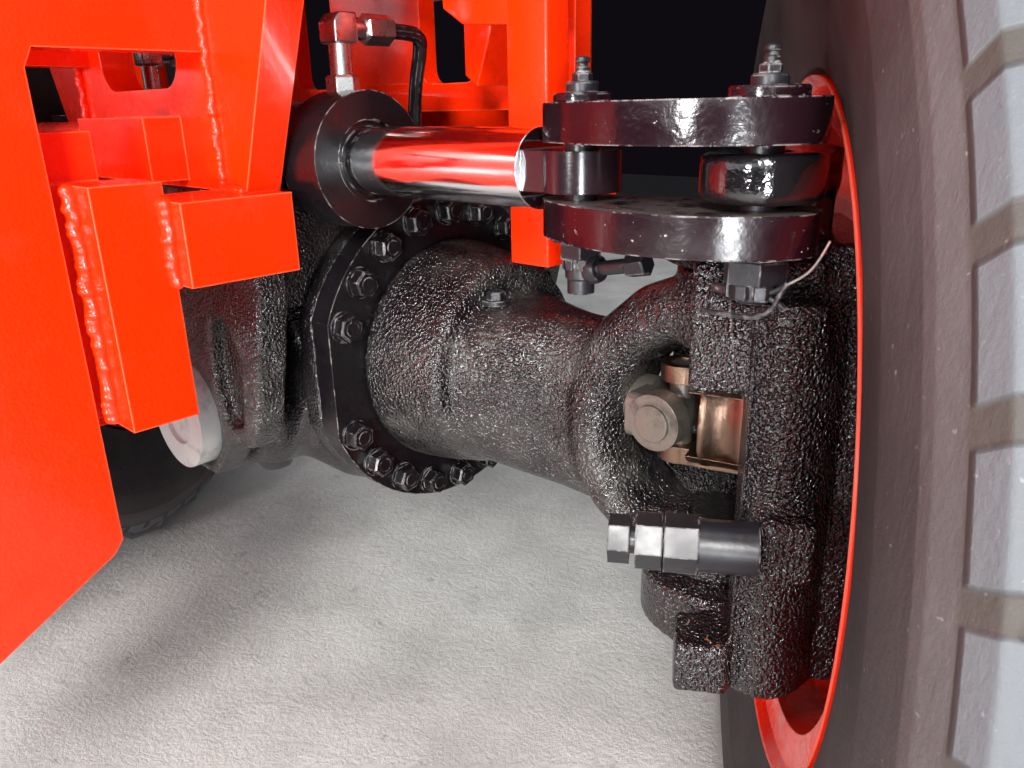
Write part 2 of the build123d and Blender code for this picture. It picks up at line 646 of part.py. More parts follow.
# Rod and links
def piston_rod():
    shoulder = rod_pin_straight - ROD_SHOULDER_TO_PIN
    rod = bar_x(ROD_R, -shoulder, shoulder, CYL_Y, CYL_Z)
    low = CYL_Z - TONGUE_THICK / 2
    high = CYL_Z + TONGUE_THICK / 2
    for side in (1, -1):
        x0, x1 = sorted((side * shoulder, side * rod_pin_straight))
        tongue = block(x0, x1, CYL_Y - TONGUE_HALF, CYL_Y + TONGUE_HALF, low, high)
        tongue += bar_z(TONGUE_HALF + 4, low, high, side * rod_pin_straight, CYL_Y)
        rod += tongue - bar_z(LINK_PIN_R + 1, low - 1, high + 1, side * rod_pin_straight, CYL_Y)
    return Pos(rod_shift, 0, 0) * rod


def link_plates():
    outline = [(-136, 12), (-136, -4), (-125, -17), (-79, -43), (-44, -46), (-16, -43),
               (12, -28), (28, -12), (31, 4), (24, 20), (8, 30), (-112, 30), (-129, 25)]
    plates = []
    for z0 in (link_low - LINK_THICK, link_high):
        plate = plate_z(outline, z0, z0 + LINK_THICK)
        plate = fillet(plate.edges().filter_by(Axis.Z), 5)
        plate -= bar_z(LINK_PIN_R, z0 - 1, z0 + LINK_THICK + 1)
        plates.append(plate - bar_z(LINK_PIN_R, z0 - 1, z0 + LINK_THICK + 1, -LINK_LENGTH))
    return Compound(children=plates)


def link_pins():
    low = link_low - LINK_THICK
    high = link_high + LINK_THICK
    pin = bar_z(LINK_PIN_R, low - 24, high)
    pin += bar_z(19, high, high + 9) + hex_z(22, high + 9, high + 20) + bar_z(5, high + 20, high + 46)
    pin += hex_z(30, low - 20, low)
    pin += bar_z(18, link_low, CYL_Z - ARM_EYE_THICK / 2 - WASHER_GAP)
    pin += bar_z(18, CYL_Z + ARM_EYE_THICK / 2 + WASHER_GAP, link_high)
    upper = bar_z(LINK_PIN_R, link_high, high, -LINK_LENGTH)
    upper += bar_z(16, high, high + 8, -LINK_LENGTH) + hex_z(17, high + 8, high + 17, -LINK_LENGTH)
    upper += bar_z(4.5, high + 17, high + 34, -LINK_LENGTH)
    lower = bar_z(LINK_PIN_R, low, link_low, -LINK_LENGTH) + hex_z(26, low - 16, low, -LINK_LENGTH)
    return Compound(children=[pin, upper, lower])


# Places of the pieces that steer
def at_knuckle(shape, side):
    shape = shape if side > 0 else other_side(shape)
    return Pos(side * KINGPIN_X, 0, 0) * Rot(0, 0, STEER_AT_REST) * shape


def at_link(shape, side):
    turn = side * STEER_AT_REST
    x, y = arm_pin(turn)
    placed = Pos(x, y, 0) * Rot(0, 0, link_heading(turn)) * shape
    return placed if side > 0 else other_side(placed)


def at_joint(shape, side):
    placed = Pos(KINGPIN_X - joint_eye, 0, 0) * Rot(0, 0, side * STEER_AT_REST / 2) * shape
    return placed if side > 0 else other_side(placed)


def on_beam(shape, side):
    return shape if side > 0 else other_side(shape)


# One row per piece that has no twin
pieces = {
    "top_plate": top_plate(),
    "front_cross_plate": front_cross_plate(),
    "middle_cross_plate": middle_cross_plate(),
    "rear_cross_plate": rear_cross_plate(),
    "front_pivot_bracket": pivot_bracket(PIVOT_TUBE_R),
    "rear_pivot_bracket": at_rear(pivot_bracket(REAR_TUBE_R)),
    "front_pivot_tube": pivot_tube(PIVOT_TUBE_R, PIVOT_PIN_R),
    "rear_pivot_tube": at_rear(pivot_tube(REAR_TUBE_R, REAR_NOSE_R)),
    "pivot_pin": pivot_pin(),
    "drive_nose": drive_nose(),
    "drive_flange": drive_flange(),
    "centre_housing": centre_housing(),
    "cylinder_barrel": cylinder_barrel(),
    "cylinder_feet": cylinder_feet(),
    "piston_rod": piston_rod(),
}

# One row per pair: the left piece's shape and the function that seats it
pairs = {
    "side_plate": (side_plate(), on_beam),
    "front_block": (front_block(), on_beam),
    "rear_block": (rear_block(), on_beam),
    "stop_post": (stop_post(), on_beam),
    "bolt_flange": (bolt_flange(), on_beam),
    "trumpet": (trumpet(), on_beam),
    "cylinder_head": (cylinder_head(), on_beam),
    "steering_pipe": (steering_pipe(), on_beam),
    "inner_yoke": (Pos(KINGPIN_X, 0, 0) * inner_yoke(), on_beam),
    "middle_fork": (middle_fork(), at_joint),
    "knuckle": (knuckle(), at_knuckle),
    "kingpins": (kingpins(), at_knuckle),
    "stop_bolt": (stop_bolt(), at_knuckle),
    "outer_yoke": (outer_yoke(), at_knuckle),
    "spindle": (spindle(), at_knuckle),
    "hub": (hub(), at_knuckle),
    "rim": (rim(), at_knuckle),
    "tyre": (tyre(), at_knuckle),
    "link_plates": (link_plates(), at_link),
    "link_pins": (link_pins(), at_link),
}
for name, (shape, seat) in pairs.items():
    pieces[name + "_left"] = seat(shape, 1)
    pieces[name + "_right"] = seat(shape, -1)

os.makedirs("parts", exist_ok=True)
for node, shape in pieces.items():
    export_step(Pos(0, 0, -TOP_Z) * shape, f"parts/{node}.step")
print("rod pin straight", round(rod_pin_straight, 2), "shift at rest", round(rod_shift, 2))
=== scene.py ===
# %% [markdown]
# # A steering drive axle in its chassis cradle
#
# This lesson dresses the axle of a rough terrain forklift: an orange cradle of thick welded plate, and in it
# a black cast axle with a steering cylinder, links, knuckles and lugged wheels.
# The solids come from the CAD model and keep their shape. Blender gives them their finishes and adds what
# is too small for CAD: bolts, welds, nipples, split pins and wire.
# The first step opens the model and notes the size of its box. It also defines the one helper that every
# later step needs, which puts a new object into the scene.

# %% Open the model
import json
import math

import bmesh
import bpy
from mathutils import Matrix, Vector

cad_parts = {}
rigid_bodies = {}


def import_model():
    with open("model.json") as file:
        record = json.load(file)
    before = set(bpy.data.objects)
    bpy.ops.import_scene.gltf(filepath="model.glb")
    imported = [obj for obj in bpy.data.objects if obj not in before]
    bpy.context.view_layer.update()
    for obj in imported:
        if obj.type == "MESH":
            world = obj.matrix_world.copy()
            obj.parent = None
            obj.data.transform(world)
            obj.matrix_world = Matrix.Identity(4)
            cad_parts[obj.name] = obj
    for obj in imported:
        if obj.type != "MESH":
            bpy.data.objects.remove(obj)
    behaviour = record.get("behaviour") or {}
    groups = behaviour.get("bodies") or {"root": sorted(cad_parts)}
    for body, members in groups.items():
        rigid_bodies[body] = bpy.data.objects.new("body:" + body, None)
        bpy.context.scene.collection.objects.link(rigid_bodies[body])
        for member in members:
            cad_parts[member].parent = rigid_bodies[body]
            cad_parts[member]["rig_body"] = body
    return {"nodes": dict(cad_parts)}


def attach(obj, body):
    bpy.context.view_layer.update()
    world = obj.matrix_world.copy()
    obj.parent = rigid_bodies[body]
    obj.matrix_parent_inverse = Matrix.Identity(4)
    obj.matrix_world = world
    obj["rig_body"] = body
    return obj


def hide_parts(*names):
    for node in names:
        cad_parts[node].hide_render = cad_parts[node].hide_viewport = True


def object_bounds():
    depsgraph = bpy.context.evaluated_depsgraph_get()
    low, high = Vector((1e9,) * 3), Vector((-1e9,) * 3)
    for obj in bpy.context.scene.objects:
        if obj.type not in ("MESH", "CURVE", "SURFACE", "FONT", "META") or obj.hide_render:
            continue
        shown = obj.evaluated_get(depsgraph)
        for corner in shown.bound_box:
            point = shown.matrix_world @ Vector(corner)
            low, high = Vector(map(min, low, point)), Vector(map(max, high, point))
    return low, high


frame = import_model()
cad_low, cad_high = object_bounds()
nodes = frame["nodes"]


def add(name, data):
    """Puts mesh, curve, camera or lamp data into the scene as a new object."""
    made = bpy.data.objects.new(name, data)
    bpy.context.scene.collection.objects.link(made)
    return made


print("box in metres:", [round(high - low, 3) for low, high in zip(cad_low, cad_high)])

# %% [markdown]
# ## Places
#
# The model's origin lies on the cradle's top face, but an axle is easier to think about from its own middle.
# One helper takes millimetres from the middle of the axle. Another takes them from a steered wheel's kingpin,
# because each knuckle stands turned by 32 degrees.

# %% Places in the axle's own millimetres
AXLE_BELOW_TOP = 0.420
KINGPIN_X = 450.0
STEER_ANGLE = math.radians(32.0)


def from_axle(x, y, z):
    return Vector((x, y, z)) / 1000 - Vector((0, 0, AXLE_BELOW_TOP))


def wheel_line(side):
    turn = Matrix.Rotation(STEER_ANGLE, 3, "Z")
    return side * (turn @ Vector((1, 0, 0)))


def from_kingpin(side, along, back, z):
    """A place given along the wheel's own axle, then to the rear, then up."""
    out = wheel_line(side)
    rear = Vector((-out.y, out.x, 0)) * side
    return from_axle(side * KINGPIN_X, 0, z) + (along * out + back * rear) / 1000


SIDES = {"left": 1, "right": -1}
print("left wheel points to", [round(c, 3) for c in wheel_line(1)])

# %% [markdown]
# ## Camera
#
# The photograph was taken from close in front of the left wheel, looking across the axle and a little down.
# Such a camera could be placed by eye, but here its place, its three angles and its lens were solved from the
# rim's edge, the cylinder's round ends and the plates' upright edges, so it is set from those numbers.

# %% Camera
CAMERA_PLACE = from_axle(699.1, -484.1, 214.4)
YAW, PITCH, ROLL = math.radians(43.5), math.radians(19.3), math.radians(1.3)
FOCAL_LENGTH_IN_PIXELS = 790.8
PICTURE_WIDTH = 1024
SENSOR = 36.0

ahead = Vector((-math.sin(YAW) * math.cos(PITCH), math.cos(YAW) * math.cos(PITCH), -math.sin(PITCH)))
level = Vector((math.cos(YAW), math.sin(YAW), 0))
plumb = ahead.cross(level)
right = math.cos(ROLL) * level + math.sin(ROLL) * plumb
down = math.cos(ROLL) * plumb - math.sin(ROLL) * level

camera_data = bpy.data.cameras.new("camera")
camera_data.sensor_width = SENSOR
camera_data.lens = SENSOR * FOCAL_LENGTH_IN_PIXELS / PICTURE_WIDTH
camera_data.clip_start = 0.02
camera = add("camera", camera_data)
camera.matrix_world = Matrix((right, -down, -ahead)).transposed().to_4x4()
camera.location = CAMERA_PLACE
bpy.context.scene.camera = camera
print("lens:", round(camera_data.lens, 2), "mm")

# %% [markdown]
# ## Node sums
#
# A material is a sum of patterns. Written node by node, a sum is hard to read, so one small class wraps a
# socket: `a * 2 + b` then adds the Math nodes by itself, and every other node comes from its method `node`.
# The same class serves Geometry Nodes later on.


# %% A socket that takes part in sums
class Wire:
    def __init__(self, tree, socket):
        self.tree = tree
        self.socket = socket

    def node(self, kind, settings=None, inputs=None, out=0):
        made = self.tree.nodes.new(kind)
        for name, value in (settings or {}).items():
            if name == "stops":
                for stop, (place, colour) in zip(made.color_ramp.elements, value):
                    stop.position = place
                    stop.color = colour
            else:
                setattr(made, name, value)
        for name, value in (inputs or {}).items():
            if isinstance(value, Wire):
                self.tree.links.new(value.socket, made.inputs[name])
            else:
                made.inputs[name].default_value = value
        return Wire(self.tree, made.outputs[out])

    def maths(self, operation, *others):
        return self.node("ShaderNodeMath", {"operation": operation}, dict(enumerate((self, *others))))

    def __add__(self, other):
        return self.maths("ADD", other)

    def __sub__(self, other):
        return self.maths("SUBTRACT", other)

    def __rsub__(self, other):
        return self * -1.0 + other

    def __mul__(self, other):
        return self.maths("MULTIPLY", other)

    __radd__ = __add__
    __rmul__ = __mul__

    def step(self, low, high, first=0.0, last=1.0):
        """Goes smoothly from first to last while the value goes from low to high."""
        limits = {"Value": self, "From Min": low, "From Max": high, "To Min": first, "To Max": last}
        return self.node("ShaderNodeMapRange", {"interpolation_type": "SMOOTHSTEP"}, limits)

    def blend(self, first, second):
        """Mixes two colours by this value."""
        return self.node("ShaderNodeMix", {"data_type": "RGBA"}, {0: self, 6: first, 7: second}, 2)

    def grain(self, scale, detail=2.0, roughness=0.5):
        look = {"Vector": self, "Scale": scale, "Detail": detail, "Roughness": roughness}
        return self.node("ShaderNodeTexNoise", None, look)

    def stretch(self, x, y, z):
        return self.node("ShaderNodeVectorMath", {"operation": "MULTIPLY"}, {0: self, 1: (x, y, z)})

    def part(self, axis):
        return self.node("ShaderNodeSeparateXYZ", None, {0: self}, "XYZ".index(axis))


print("sums ready")

# %% [markdown]
# ## A finish
#
# Every finish starts the same way: object coordinates, one Principled shader, and soft corners. Real plate and
# castings have no knife edges, but the CAD solids do, and rounding each of them would cost many faces.
# A Bevel node only bends the normals there, which is enough to catch the light.


# %% A finish with soft corners
class Finish:
    def __init__(self, name, corner, **fixed):
        self.material = bpy.data.materials.new(name)
        self.material.use_nodes = True
        tree = self.material.node_tree
        tree.nodes.clear()
        self.shader = tree.nodes.new("ShaderNodeBsdfPrincipled")
        result = tree.nodes.new("ShaderNodeOutputMaterial")
        tree.links.new(self.shader.outputs[0], result.inputs["Surface"])
        for socket, value in fixed.items():
            self.shader.inputs[socket.replace("_", " ")].default_value = value
        place = tree.nodes.new("ShaderNodeTexCoord")
        self.spot = Wire(tree, place.outputs["Object"])
        self.soft = self.spot.node("ShaderNodeBevel", {"samples": 4}, {"Radius": corner})

    def edge(self, radius):
        """1 along corners and edges, 0 on flat faces."""
        wide = self.spot.node("ShaderNodeBevel", {"samples": 6}, {"Radius": radius})
        flat = self.spot.node("ShaderNodeNewGeometry", None, None, "Normal")
        same = self.spot.node("ShaderNodeVectorMath", {"operation": "DOT_PRODUCT"}, {0: wide, 1: flat}, 1)
        return same.step(0.995, 0.90)

    def paint(self, socket, wire):
        self.spot.tree.links.new(wire.socket, self.shader.inputs[socket])

    def relief(self, height, depth):
        """Raises the surface by up to depth metres, over the soft corners."""
        parts = {"Height": height, "Distance": depth, "Strength": 1.0, "Normal": self.soft}
        self.paint("Normal", self.spot.node("ShaderNodeBump", None, parts))


print("finish ready")

# %% [markdown]
# ## Orange paint
#
# The cradle is thick plate, sprayed a strong orange-red. The coat is thick and glossy, with a fine orange
# peel, and a little dust dulls it in patches. Along corners the colour is made paler: partly thin paint, partly
# a painted highlight.


# %% Orange paint
def orange_coat(name, colour, pale_edge_and_painted_highlight, peel):
    coat = Finish(name, 0.0018, Coat_Roughness=0.10, Coat_IOR=1.35, Specular_IOR_Level=0.25)
    spot = coat.spot
    cloud = spot.grain(9.0, 3.0)
    dust = spot.grain(38.0, 4.0, 0.6).step(0.52, 0.72)
    tint = cloud.blend(colour, [c * 0.82 for c in colour[:3]] + [1.0])
    # Corners blend to the pale colour: partly thin paint, partly a painted highlight along the edges.
    coat.paint("Base Color", (coat.edge(0.0022) * 0.55).blend(tint, pale_edge_and_painted_highlight))
    coat.paint("Roughness", dust * 0.16 + 0.26)
    coat.paint("Coat Weight", 0.6 - dust * 0.4)
    coat.relief(spot.grain(420.0, 2.0) * 0.5 + spot.grain(70.0, 2.0), peel)
    return coat.material


# The second colour of each coat is its pale edge colour, partly a painted highlight.
cradle_paint = orange_coat("cradle_paint", (1.0, 0.024, 0.0004, 1), (1.0, 0.20, 0.08, 1), 0.0004)
rim_paint = orange_coat("rim_paint", (0.92, 0.022, 0.004, 1), (1.0, 0.20, 0.12, 1), 0.0002)
print("paints:", cradle_paint.name, rim_paint.name)

# %% [markdown]
# ## Black sand castings
#
# Housing, yokes and knuckles are sand castings: their skin is rough as coarse sandpaper. They are dipped in
# glossy black, so each grain sends back a spark of light. The grains are two to three millimetres across.
# Two sizes of noise make them, and a third leaves calmer patches. Rust flakes show in a few places.
# The knuckles' arms between the link plates were ground smooth, so their relief fades out above a height.


# %% Black casting
def rough_casting(name, grain_scale, depth, dry, smooth_above=None):
    """dry goes from 0 for thick gloss to 1 for a dusty coat."""
    skin = Finish(name, 0.0025, IOR=1.72)
    spot = skin.spot
    calm = spot.grain(14.0, 2.0).step(0.38, 0.62)
    grit = spot.grain(grain_scale, 1.0, 0.5).step(0.36, 0.72)
    fine = spot.grain(grain_scale * 2.4, 1.0)
    rust = spot.grain(31.0, 5.0, 0.7).step(0.68, 0.71) * spot.grain(6.0, 1.0).step(0.52, 0.60)
    dirt = spot.grain(18.0, 4.0, 0.65).step(0.42, 0.72) * dry
    black = dirt.blend((0.005, 0.004, 0.005, 1), (0.085, 0.082, 0.072, 1))
    skin.paint("Base Color", rust.blend(black, (0.30, 0.10, 0.035, 1)))
    skin.paint("Roughness", rust * 0.5 + dirt * 0.36 + 0.09)
    height = grit * (calm * 0.35 + 0.65) + fine * 0.25
    if smooth_above is not None:
        height = height * spot.part("Z").step(smooth_above, smooth_above + 0.012, 1.0, 0.05)
    skin.relief(height, depth)
    return skin.material


ARM_FOOT_Z = -0.286
casting = rough_casting("black_casting", 400.0, 0.0015, 0.50)
near_casting = rough_casting("knuckle_casting", 430.0, 0.0018, 0.06, ARM_FOOT_Z)
fine_casting = rough_casting("fine_black_casting", 460.0, 0.0007, 0.15)
print("castings:", casting.name, near_casting.name, fine_casting.name)

# %% [markdown]
# ## Black gloss
#
# Link plates and the cylinder are smooth steel under the same black. The paint has small chips and dents that
# show as pale specks, and dust settles on faces that look up. One function makes all three glosses: for the
# link plates, the cylinder, and the black bolts and nuts.


# %% Black gloss
def black_gloss(name, tint, speck_share, rough, dusty=0.0):
    """dusty is how much dust lies on faces that look up."""
    coat = Finish(name, 0.0015, IOR=1.5)
    spot = coat.spot
    worn = coat.edge(0.0016) * spot.grain(130.0, 3.0, 0.6).step(0.46, 0.60)
    chips = spot.grain(240.0, 4.0, 0.7).step(speck_share, speck_share + 0.04) + worn * 0.6
    up = spot.node("ShaderNodeNewGeometry", None, None, "Normal").part("Z").step(0.80, 0.98)
    dust = up * spot.grain(60.0, 4.0, 0.6).step(0.25, 0.60) * dusty
    black = dust.blend(tint, (0.24, 0.21, 0.20, 1))
    coat.paint("Base Color", chips.blend(black, (0.42, 0.38, 0.36, 1)))
    coat.paint("Roughness", spot.grain(30.0, 3.0).step(0.35, 0.70) * 0.14 + chips * 0.3 + dust * 0.4 + rough)
    coat.relief(spot.grain(38.0, 2.0) + spot.grain(300.0, 2.0) * 0.22 - chips * 0.4, 0.0006)
    return coat.material


# The link plates' black is tinted maroon: a painted reflection of the orange cradle.
link_gloss = black_gloss("link_gloss", (0.010, 0.003, 0.005, 1), 0.668, 0.14, 0.35)
cylinder_gloss = black_gloss("cylinder_gloss", (0.005, 0.004, 0.005, 1), 0.72, 0.22)
bolt_gloss = black_gloss("bolt_gloss", (0.010, 0.010, 0.013, 1), 0.70, 0.30)
print("glosses:", link_gloss.name, cylinder_gloss.name, bolt_gloss.name)

# %% [markdown]
# ## Bare and plated metal
#
# The cylinder's rod is hard chrome: a mirror with the finest lengthwise haze. Pivot tubes and the drive flange
# are machined steel with turning marks, screws are zinc plated, and the double joint is oily forged steel.
# All of them are one recipe with other numbers. The rod's two eyes are painted black, so a mask covers them.


# %% Bare and plated metal
def bare_metal(name, colour, rough, stains, mark_stretch, depth, metal=1.0, painted=None):
    """painted takes the place on the piece and gives 1 where black paint covers the metal."""
    steel = Finish(name, 0.0010)
    spot = steel.spot
    black = painted(spot) if painted else spot.part("X") * 0.0
    marks = spot.stretch(*mark_stretch).grain(60.0, 3.0, 0.6)
    stain = spot.grain(45.0, 4.0, 0.65).step(0.48, 0.70) * stains
    bare = stain.blend(colour, [c * 0.35 for c in colour[:3]] + [1.0])
    # Where painted, the black is tinted maroon: a painted reflection of the orange cradle.
    steel.paint("Base Color", black.blend(bare, (0.012, 0.006, 0.008, 1)))
    steel.paint("Roughness", marks * 0.18 + stain * 0.25 + rough + black * 0.06)
    steel.paint("Metallic", metal - black * metal)
    steel.relief(marks + spot.grain(500.0, 1.0) * 0.3, depth)
    return steel.material


LEFT_SHOULDER_X, RIGHT_SHOULDER_X = 0.366, -0.2525


def rod_ends(spot):
    """The rod's eyes, outside its two shoulders, are painted."""
    across = spot.part("X")
    return across.maths("GREATER_THAN", LEFT_SHOULDER_X) + across.maths("LESS_THAN", RIGHT_SHOULDER_X)


chrome = bare_metal("chrome_rod", (0.90, 0.90, 0.92, 1), 0.03, 0.04, (0.5, 12, 12), 0.00003, painted=rod_ends)
machined = bare_metal("machined_steel", (0.50, 0.51, 0.50, 1), 0.34, 0.5, (6, 0.5, 6), 0.0001, 0.55)
zinc = bare_metal("zinc_plate", (0.62, 0.62, 0.60, 1), 0.20, 0.5, (8, 8, 8), 0.0001)
yoke_steel = bare_metal("yoke_steel", (0.19, 0.17, 0.145, 1), 0.34, 0.9, (9, 9, 9), 0.0002, 0.8)
# The fork's reddish brown is partly the oily steel's own colour and partly a painted reflection of the orange
# cradle.
fork_steel = bare_metal("fork_steel", (0.19, 0.12, 0.085, 1), 0.24, 0.9, (3, 14, 14), 0.0002)
print("metals:", chrome.name, machined.name, zinc.name, yoke_steel.name, fork_steel.name)

# %% [markdown]
# ## Tyre rubber
#
# The tyres are dry and dusty: the sidewall is a dull dark grey that steps to a paler band, a ring of pale dried
# mud patches follows, and the lugs are worn grey on top. All of this lies by distance from the wheel's own
# axle, so the material measures it: how far back, how far up, and from the two a radius and an angle.


# %% Tyre rubber
PATCHES = 52
BAND_R, PATCH_R, LUG_R = 0.3525, 0.3700, 0.3990


def dusty_rubber(name, side):
    rubber = Finish(name, 0.0030, Specular_IOR_Level=0.30)
    spot = rubber.spot
    hub = from_kingpin(side, 0, 0, 0)
    out = wheel_line(side)
    rear = Vector((-out.y, out.x, 0)) * side
    vector = "ShaderNodeVectorMath"
    arm = spot.node(vector, {"operation": "SUBTRACT"}, {0: spot, 1: hub})
    back = spot.node(vector, {"operation": "DOT_PRODUCT"}, {0: arm, 1: rear}, 1)
    up = arm.part("Z")
    radius = (back * back + up * up).maths("SQRT")
    turn = up.maths("ARCTAN2", back)
    patch = spot.grain(7.0, 5.0, 0.6)
    shoulder = radius.step(BAND_R - 0.001, BAND_R + 0.001) * 0.30 + radius.step(0.30, 0.352) * 0.25
    block = (turn * PATCHES + radius * 30.0 + patch * 1.5 + 0.1).maths("SINE")
    mud = block.step(-0.85, -0.60) * radius.step(PATCH_R, PATCH_R + 0.0025) * radius.step(LUG_R, LUG_R - 0.0025)
    dust = shoulder + patch.step(0.38, 0.75) * 0.30
    grey = dust.blend((0.014, 0.010, 0.011, 1), (0.120, 0.104, 0.104, 1))
    brown = radius.step(PATCH_R - 0.002, PATCH_R + 0.001).blend(grey, (0.058, 0.049, 0.043, 1))
    muddy = (mud * (patch * 0.5 + 0.70)).blend(brown, (0.112, 0.118, 0.127, 1))
    tread = radius.step(LUG_R, LUG_R + 0.0070) * (patch * 0.6 + 0.4)
    dry = tread.blend(muddy, (0.110, 0.104, 0.098, 1))
    specks = spot.grain(300.0, 2.0).step(0.68, 0.80) * 0.35
    rubber.paint("Base Color", specks.blend(dry, (0.35, 0.33, 0.32, 1)))
    rubber.paint("Roughness", patch * 0.2 + 0.55)
    scuffs = spot.stretch(1.0, 1.0, 0.25).grain(70.0, 4.0, 0.7)
    rubber.relief(spot.grain(180.0, 4.0, 0.7) * 0.5 + scuffs * 0.6 + mud * 1.5, 0.0010)
    return rubber.material


tyre_rubber = {name: dusty_rubber(name + "_tyre_rubber", side) for name, side in SIDES.items()}
print("tyres:", [m.name for m in tyre_rubber.values()])

# %% [markdown]
# ## Finishes on the solids
#
# Each solid takes one finish. The table says which names go with which finish, and the loop gives each
# solid a single material slot.

# %% Give each solid its finish
finish_of = {
    "top_plate front_cross_plate middle_cross_plate rear_cross_plate side_plate": cradle_paint,
    "front_block rear_block stop_post": cradle_paint,
    "front_pivot_bracket rear_pivot_bracket trumpet": casting,
    "bolt_flange": cylinder_gloss,
    "knuckle": near_casting,
    "centre_housing cylinder_feet spindle drive_nose hub kingpins": fine_casting,
    "cylinder_barrel cylinder_head": cylinder_gloss,
    "link_plates": link_gloss,
    "steering_pipe": zinc,
    "front_pivot_tube rear_pivot_tube pivot_pin drive_flange": machined,
    "stop_bolt link_pins": bolt_gloss,
    "inner_yoke outer_yoke": yoke_steel,
    "middle_fork": fork_steel,
    "piston_rod": chrome,
    "rim": rim_paint,
}


def dress(piece, material):
    piece.data.materials.clear()
    piece.data.materials.append(material)


for names, material in finish_of.items():
    for name in names.split():
        for node in (name, name + "_left", name + "_right"):
            if node in nodes:
                dress(nodes[node], material)
for name in SIDES:
    dress(nodes["tyre_" + name], tyre_rubber[name])
print("finishes in use:", len({solid.data.materials[0].name for solid in nodes.values()}))

# %% [markdown]
# ## Cast skins
#
# The yokes and knuckles are castings whose corners are as round as a thumb. The solids have sharp ones. So each
# casting gets a skin: overlapping shapes, cut into even small cells by a voxel remesh and then smoothed, which
# melts every corner, inner ones too. The skin then stands for the solid.


# %% Melt shapes into one skin
def put(name, shape):
    mesh = bpy.data.meshes.new(name)
    shape.to_mesh(mesh)
    shape.free()
    return add(name, mesh)


def loft(shape, rings):
    """Joins rings of equally many points into one closed shape."""
    made = [[shape.verts.new(place) for place in ring] for ring in rings]
    for low, high in zip(made, made[1:]):
        for one in range(len(low)):
            after = (one + 1) % len(low)
            shape.faces.new((low[one], low[after], high[after], high[one]))
    shape.faces.new(made[0][::-1])
    shape.faces.new(made[-1])


def melt(shape, cell, rounds, holes=None):
    """holes is a shape that is taken out before the smoothing."""
    holder = put("unmelted", shape)
    remesh = holder.modifiers.new("even", "REMESH")
    remesh.mode = "VOXEL"
    remesh.voxel_size = cell
    cutter = put("holes", holes) if holes else None
    if cutter:
        drill = holder.modifiers.new("drill", "BOOLEAN")
        drill.operation = "DIFFERENCE"
        drill.solver = "FAST"
        drill.object = cutter
    soften = holder.modifiers.new("soften", "SMOOTH")
    soften.factor = 0.5
    soften.iterations = rounds
    worked_out = holder.evaluated_get(bpy.context.evaluated_depsgraph_get())
    mesh = bpy.data.meshes.new_from_object(worked_out)
    bpy.data.objects.remove(holder)
    if cutter:
        bpy.data.objects.remove(cutter)
    return mesh


def keep_melted(name, mesh, finish, body):
    """Keeps a melted mesh as a piece that rides on one body."""
    mesh.materials.clear()
    mesh.materials.append(finish)
    for face in mesh.polygons:
        face.use_smooth = True
    piece = add(name, mesh)
    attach(piece, body)
    print(name, "faces:", len(mesh.polygons))
    return piece


def skin_for(node, mesh, finish):
    """Keeps a melted mesh as the skin of one casting."""
    skin = keep_melted(node + "_skin", mesh, finish, nodes[node]["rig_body"])
    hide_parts(node)


def copy_of(node):
    """The node's mesh with its loose triangles joined."""
    shape = bmesh.new()
    shape.from_mesh(nodes[node].data)
    bmesh.ops.remove_doubles(shape, verts=shape.verts, dist=0.00002)
    return shape


skin_for("centre_housing", melt(copy_of("centre_housing"), 0.0045, 8), fine_casting)
skin_for("front_pivot_bracket", melt(copy_of("front_pivot_bracket"), 0.0030, 5), casting)

# %% [markdown]
# The knuckle's columns are not flat in front: they swell like a barrel and fall away towards the wheel. After
# the melt, each point on their faces moves back by how far it lies from the column's middle line. A rib behind
# each column closes the view past the double joint.


# %% Knuckle skins
COLUMN_FACE, COLUMN_ROOT = 100.0, 60.0
COLUMN_MIDDLE, COLUMN_HALF, SWELL = 27.0, 27.0, 17.0
COLUMN_HEAD = 112.0
DEEPEST_FALL = 26.0


def ease(value, low, high):
    """Goes smoothly from 0 to 1 while the value goes from low to high."""
    share = min(max((value - low) / (high - low), 0.0), 1.0)
    return share * share * (3 - 2 * share)


def swell_columns(mesh, side):
    """Rounds the front and rear faces of one knuckle's columns."""
    out = wheel_line(side)
    rear = Vector((-out.y, out.x, 0)) * side
    kingpin = from_axle(side * KINGPIN_X, 0, 0)
    for vert in mesh.vertices:
        offset = (vert.co - kingpin) * 1000
        along, back = offset.dot(out), offset.dot(rear)
        if along < 2 or abs(back) < COLUMN_ROOT or abs(back) > COLUMN_FACE + 1.5 or offset.z > COLUMN_HEAD:
            continue
        fall = min(SWELL * ((along - COLUMN_MIDDLE) / COLUMN_HALF) ** 2, DEEPEST_FALL)
        share = ease(abs(back), COLUMN_ROOT, COLUMN_FACE - 4) * ease(COLUMN_HEAD - offset.z, 0, 14)
        share *= ease(along, 2, 8)
        vert.co -= rear * math.copysign(fall * share / 1000, back)


RIB_OUTLINE = [(-42, 79), (8, 74), (8, 90), (-36, 88)]
RIB_HEIGHTS = (-148, 100)

for name, side in SIDES.items():
    shape = copy_of("knuckle_" + name)
    loft(shape, [[from_kingpin(side, along, back, z) for along, back in RIB_OUTLINE] for z in RIB_HEIGHTS])
    bmesh.ops.recalc_face_normals(shape, faces=shape.faces)
    mesh = melt(shape, 0.0030, 7)
    swell_columns(mesh, side)
    skin_for("knuckle_" + name, mesh, near_casting)

# %% [markdown]
# The trumpet is drawn afresh from rings: a drum that narrows from the flange, a beam that thins towards the
# wheel, and an arm of oval section that bends round the double joint like the letter C. Two bosses hold the
# kingpins. It is made for the left side and mirrored.


